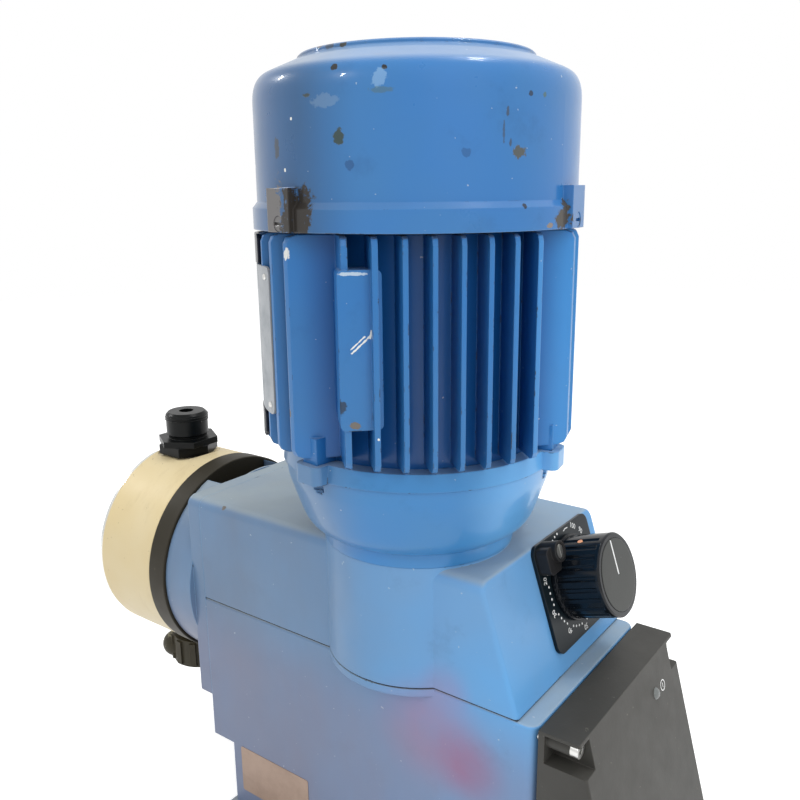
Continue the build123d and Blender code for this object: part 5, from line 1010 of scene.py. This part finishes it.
def seen_ray(tree):
    """1 for rays of the camera, and for mirrored and refracted ones."""
    path = tree.nodes.new("ShaderNodeLightPath")
    value = path.outputs["Is Camera Ray"]
    for kind in ("Is Glossy Ray", "Is Transmission Ray"):
        node = tree.nodes.new("ShaderNodeMath")
        node.operation = "MAXIMUM"
        tree.links.new(value, node.inputs[0])
        tree.links.new(path.outputs[kind], node.inputs[1])
        value = node.outputs[0]
    return value


def split_by_ray(tree, plain, seen, output_kind):
    """Shows one shader to the camera and in reflections, and the plain one to all other rays."""
    choose = tree.nodes.new("ShaderNodeMixShader")
    for value, socket in zip((seen_ray(tree), plain.outputs[0], seen.outputs[0]), choose.inputs):
        tree.links.new(value, socket)
    tree.links.new(choose.outputs[0], tree.nodes.new(output_kind).inputs["Surface"])


def area_lamp(name, at, target, size, power, colour, mirrored=False):
    lamp = bpy.data.lights.new(name, "AREA")
    lamp.shape = "RECTANGLE"
    lamp.size, lamp.size_y = size
    lamp.energy = power
    lamp.color = colour
    holder = bpy.data.objects.new(name, lamp)
    bpy.context.scene.collection.objects.link(holder)
    holder.location = at
    holder.visible_glossy = mirrored
    aim = (Vector(target) - Vector(at)).to_track_quat("-Z", "Y")
    holder.rotation_euler = aim.to_euler()


def world_light(strength):
    world = bpy.data.worlds.new("studio")
    bpy.context.scene.world = world
    tree = bare_tree(world)
    shades = [tree.nodes.new("ShaderNodeBackground") for _ in range(2)]
    for shade, level in zip(shades, (strength, 1.0)):
        shade.inputs["Color"].default_value = (1.0, 1.0, 1.0, 1.0)
        shade.inputs["Strength"].default_value = level
    split_by_ray(tree, *shades, "ShaderNodeOutputWorld")


def add_camera(lens):
    azimuth, pitch, roll = (math.radians(v) for v in CAMERA_TURN)
    level_share = math.cos(pitch)
    forward = Vector((-math.sin(azimuth) * level_share, math.cos(azimuth) * level_share, -math.sin(pitch)))
    level = Vector((math.cos(azimuth), math.sin(azimuth), 0.0))
    above = level.cross(forward)
    right = level * math.cos(roll) + above * math.sin(roll)
    up = above * math.cos(roll) - level * math.sin(roll)
    data = bpy.data.cameras.new("view")
    data.lens = lens
    data.sensor_width = 36.0
    data.clip_start = 0.01
    camera = bpy.data.objects.new("view", data)
    bpy.context.scene.collection.objects.link(camera)
    camera.matrix_world = axes_matrix(right, up, -forward, CAMERA_AT)
    bpy.context.scene.camera = camera


class PUMP_OT_stage(bpy.types.Operator):
    """Sets the floor, the lights, the white surroundings and the camera"""

    bl_idname = "pump.stage"
    bl_label = "Set the stage"

    def execute(self, context):
        settings = context.scene.pump_stage
        bm = bmesh.new()
        add_outline(bm, circle_points(2500.0, 64), -20.0, 0.0, Matrix.Translation((0.0, 0.0, CAD_BOX[0].z)))
        floor = new_object("floor", mesh_from("floor", bm), stage_material("floor_white", (0.80, 0.80, 0.80)))
        world_light(settings.sky)
        for name, (at, size, share, colour) in LAMPS.items():
            area_lamp(name, at, MIDDLE, size, settings.key * share, colour)
        for number, (at, size) in enumerate(TUBES):
            area_lamp("tube_%d" % number, at, TUBE_AIM, size, settings.tubes, (1.0, 1.0, 1.0), mirrored=True)
        add_camera(settings.lens)
        context.scene.view_settings.view_transform = "Standard"
        return {"FINISHED"}


class PUMP_PT_panel(bpy.types.Panel):
    """Lists the pump's settings and steps"""

    bl_idname = "PUMP_PT_panel"
    bl_label = "Metering Pump"
    bl_space_type = "VIEW_3D"
    bl_region_type = "UI"
    bl_category = "Pump"

    def draw(self, context):
        for group in (context.scene.pump_paint, context.scene.pump_dial, context.scene.pump_stage):
            box = self.layout.box()
            for key in group.__annotations__:
                box.prop(group, key)
        for step in STEPS:
            self.layout.operator(step.bl_idname)


STEPS = (PUMP_OT_finishes, PUMP_OT_dial, PUMP_OT_knob_marks, PUMP_OT_plates, PUMP_OT_cover_mark,
         PUMP_OT_stage)
GROUPS = {"pump_paint": PumpPaint, "pump_dial": PumpDial, "pump_stage": PumpStage}


def register():
    for group in GROUPS.values():
        bpy.utils.register_class(group)
    for name, group in GROUPS.items():
        setattr(bpy.types.Scene, name, bpy.props.PointerProperty(type=group))
    for cls in STEPS + (PUMP_PT_panel,):
        bpy.utils.register_class(cls)


def unregister():
    for cls in reversed(STEPS + (PUMP_PT_panel,)):
        bpy.utils.unregister_class(cls)
    for name, group in GROUPS.items():
        delattr(bpy.types.Scene, name)
        bpy.utils.unregister_class(group)


def main():
    register()
    for step in STEPS:
        family, verb = step.bl_idname.split(".")
        getattr(getattr(bpy.ops, family), verb)()


if __name__ == "__main__":
    main()
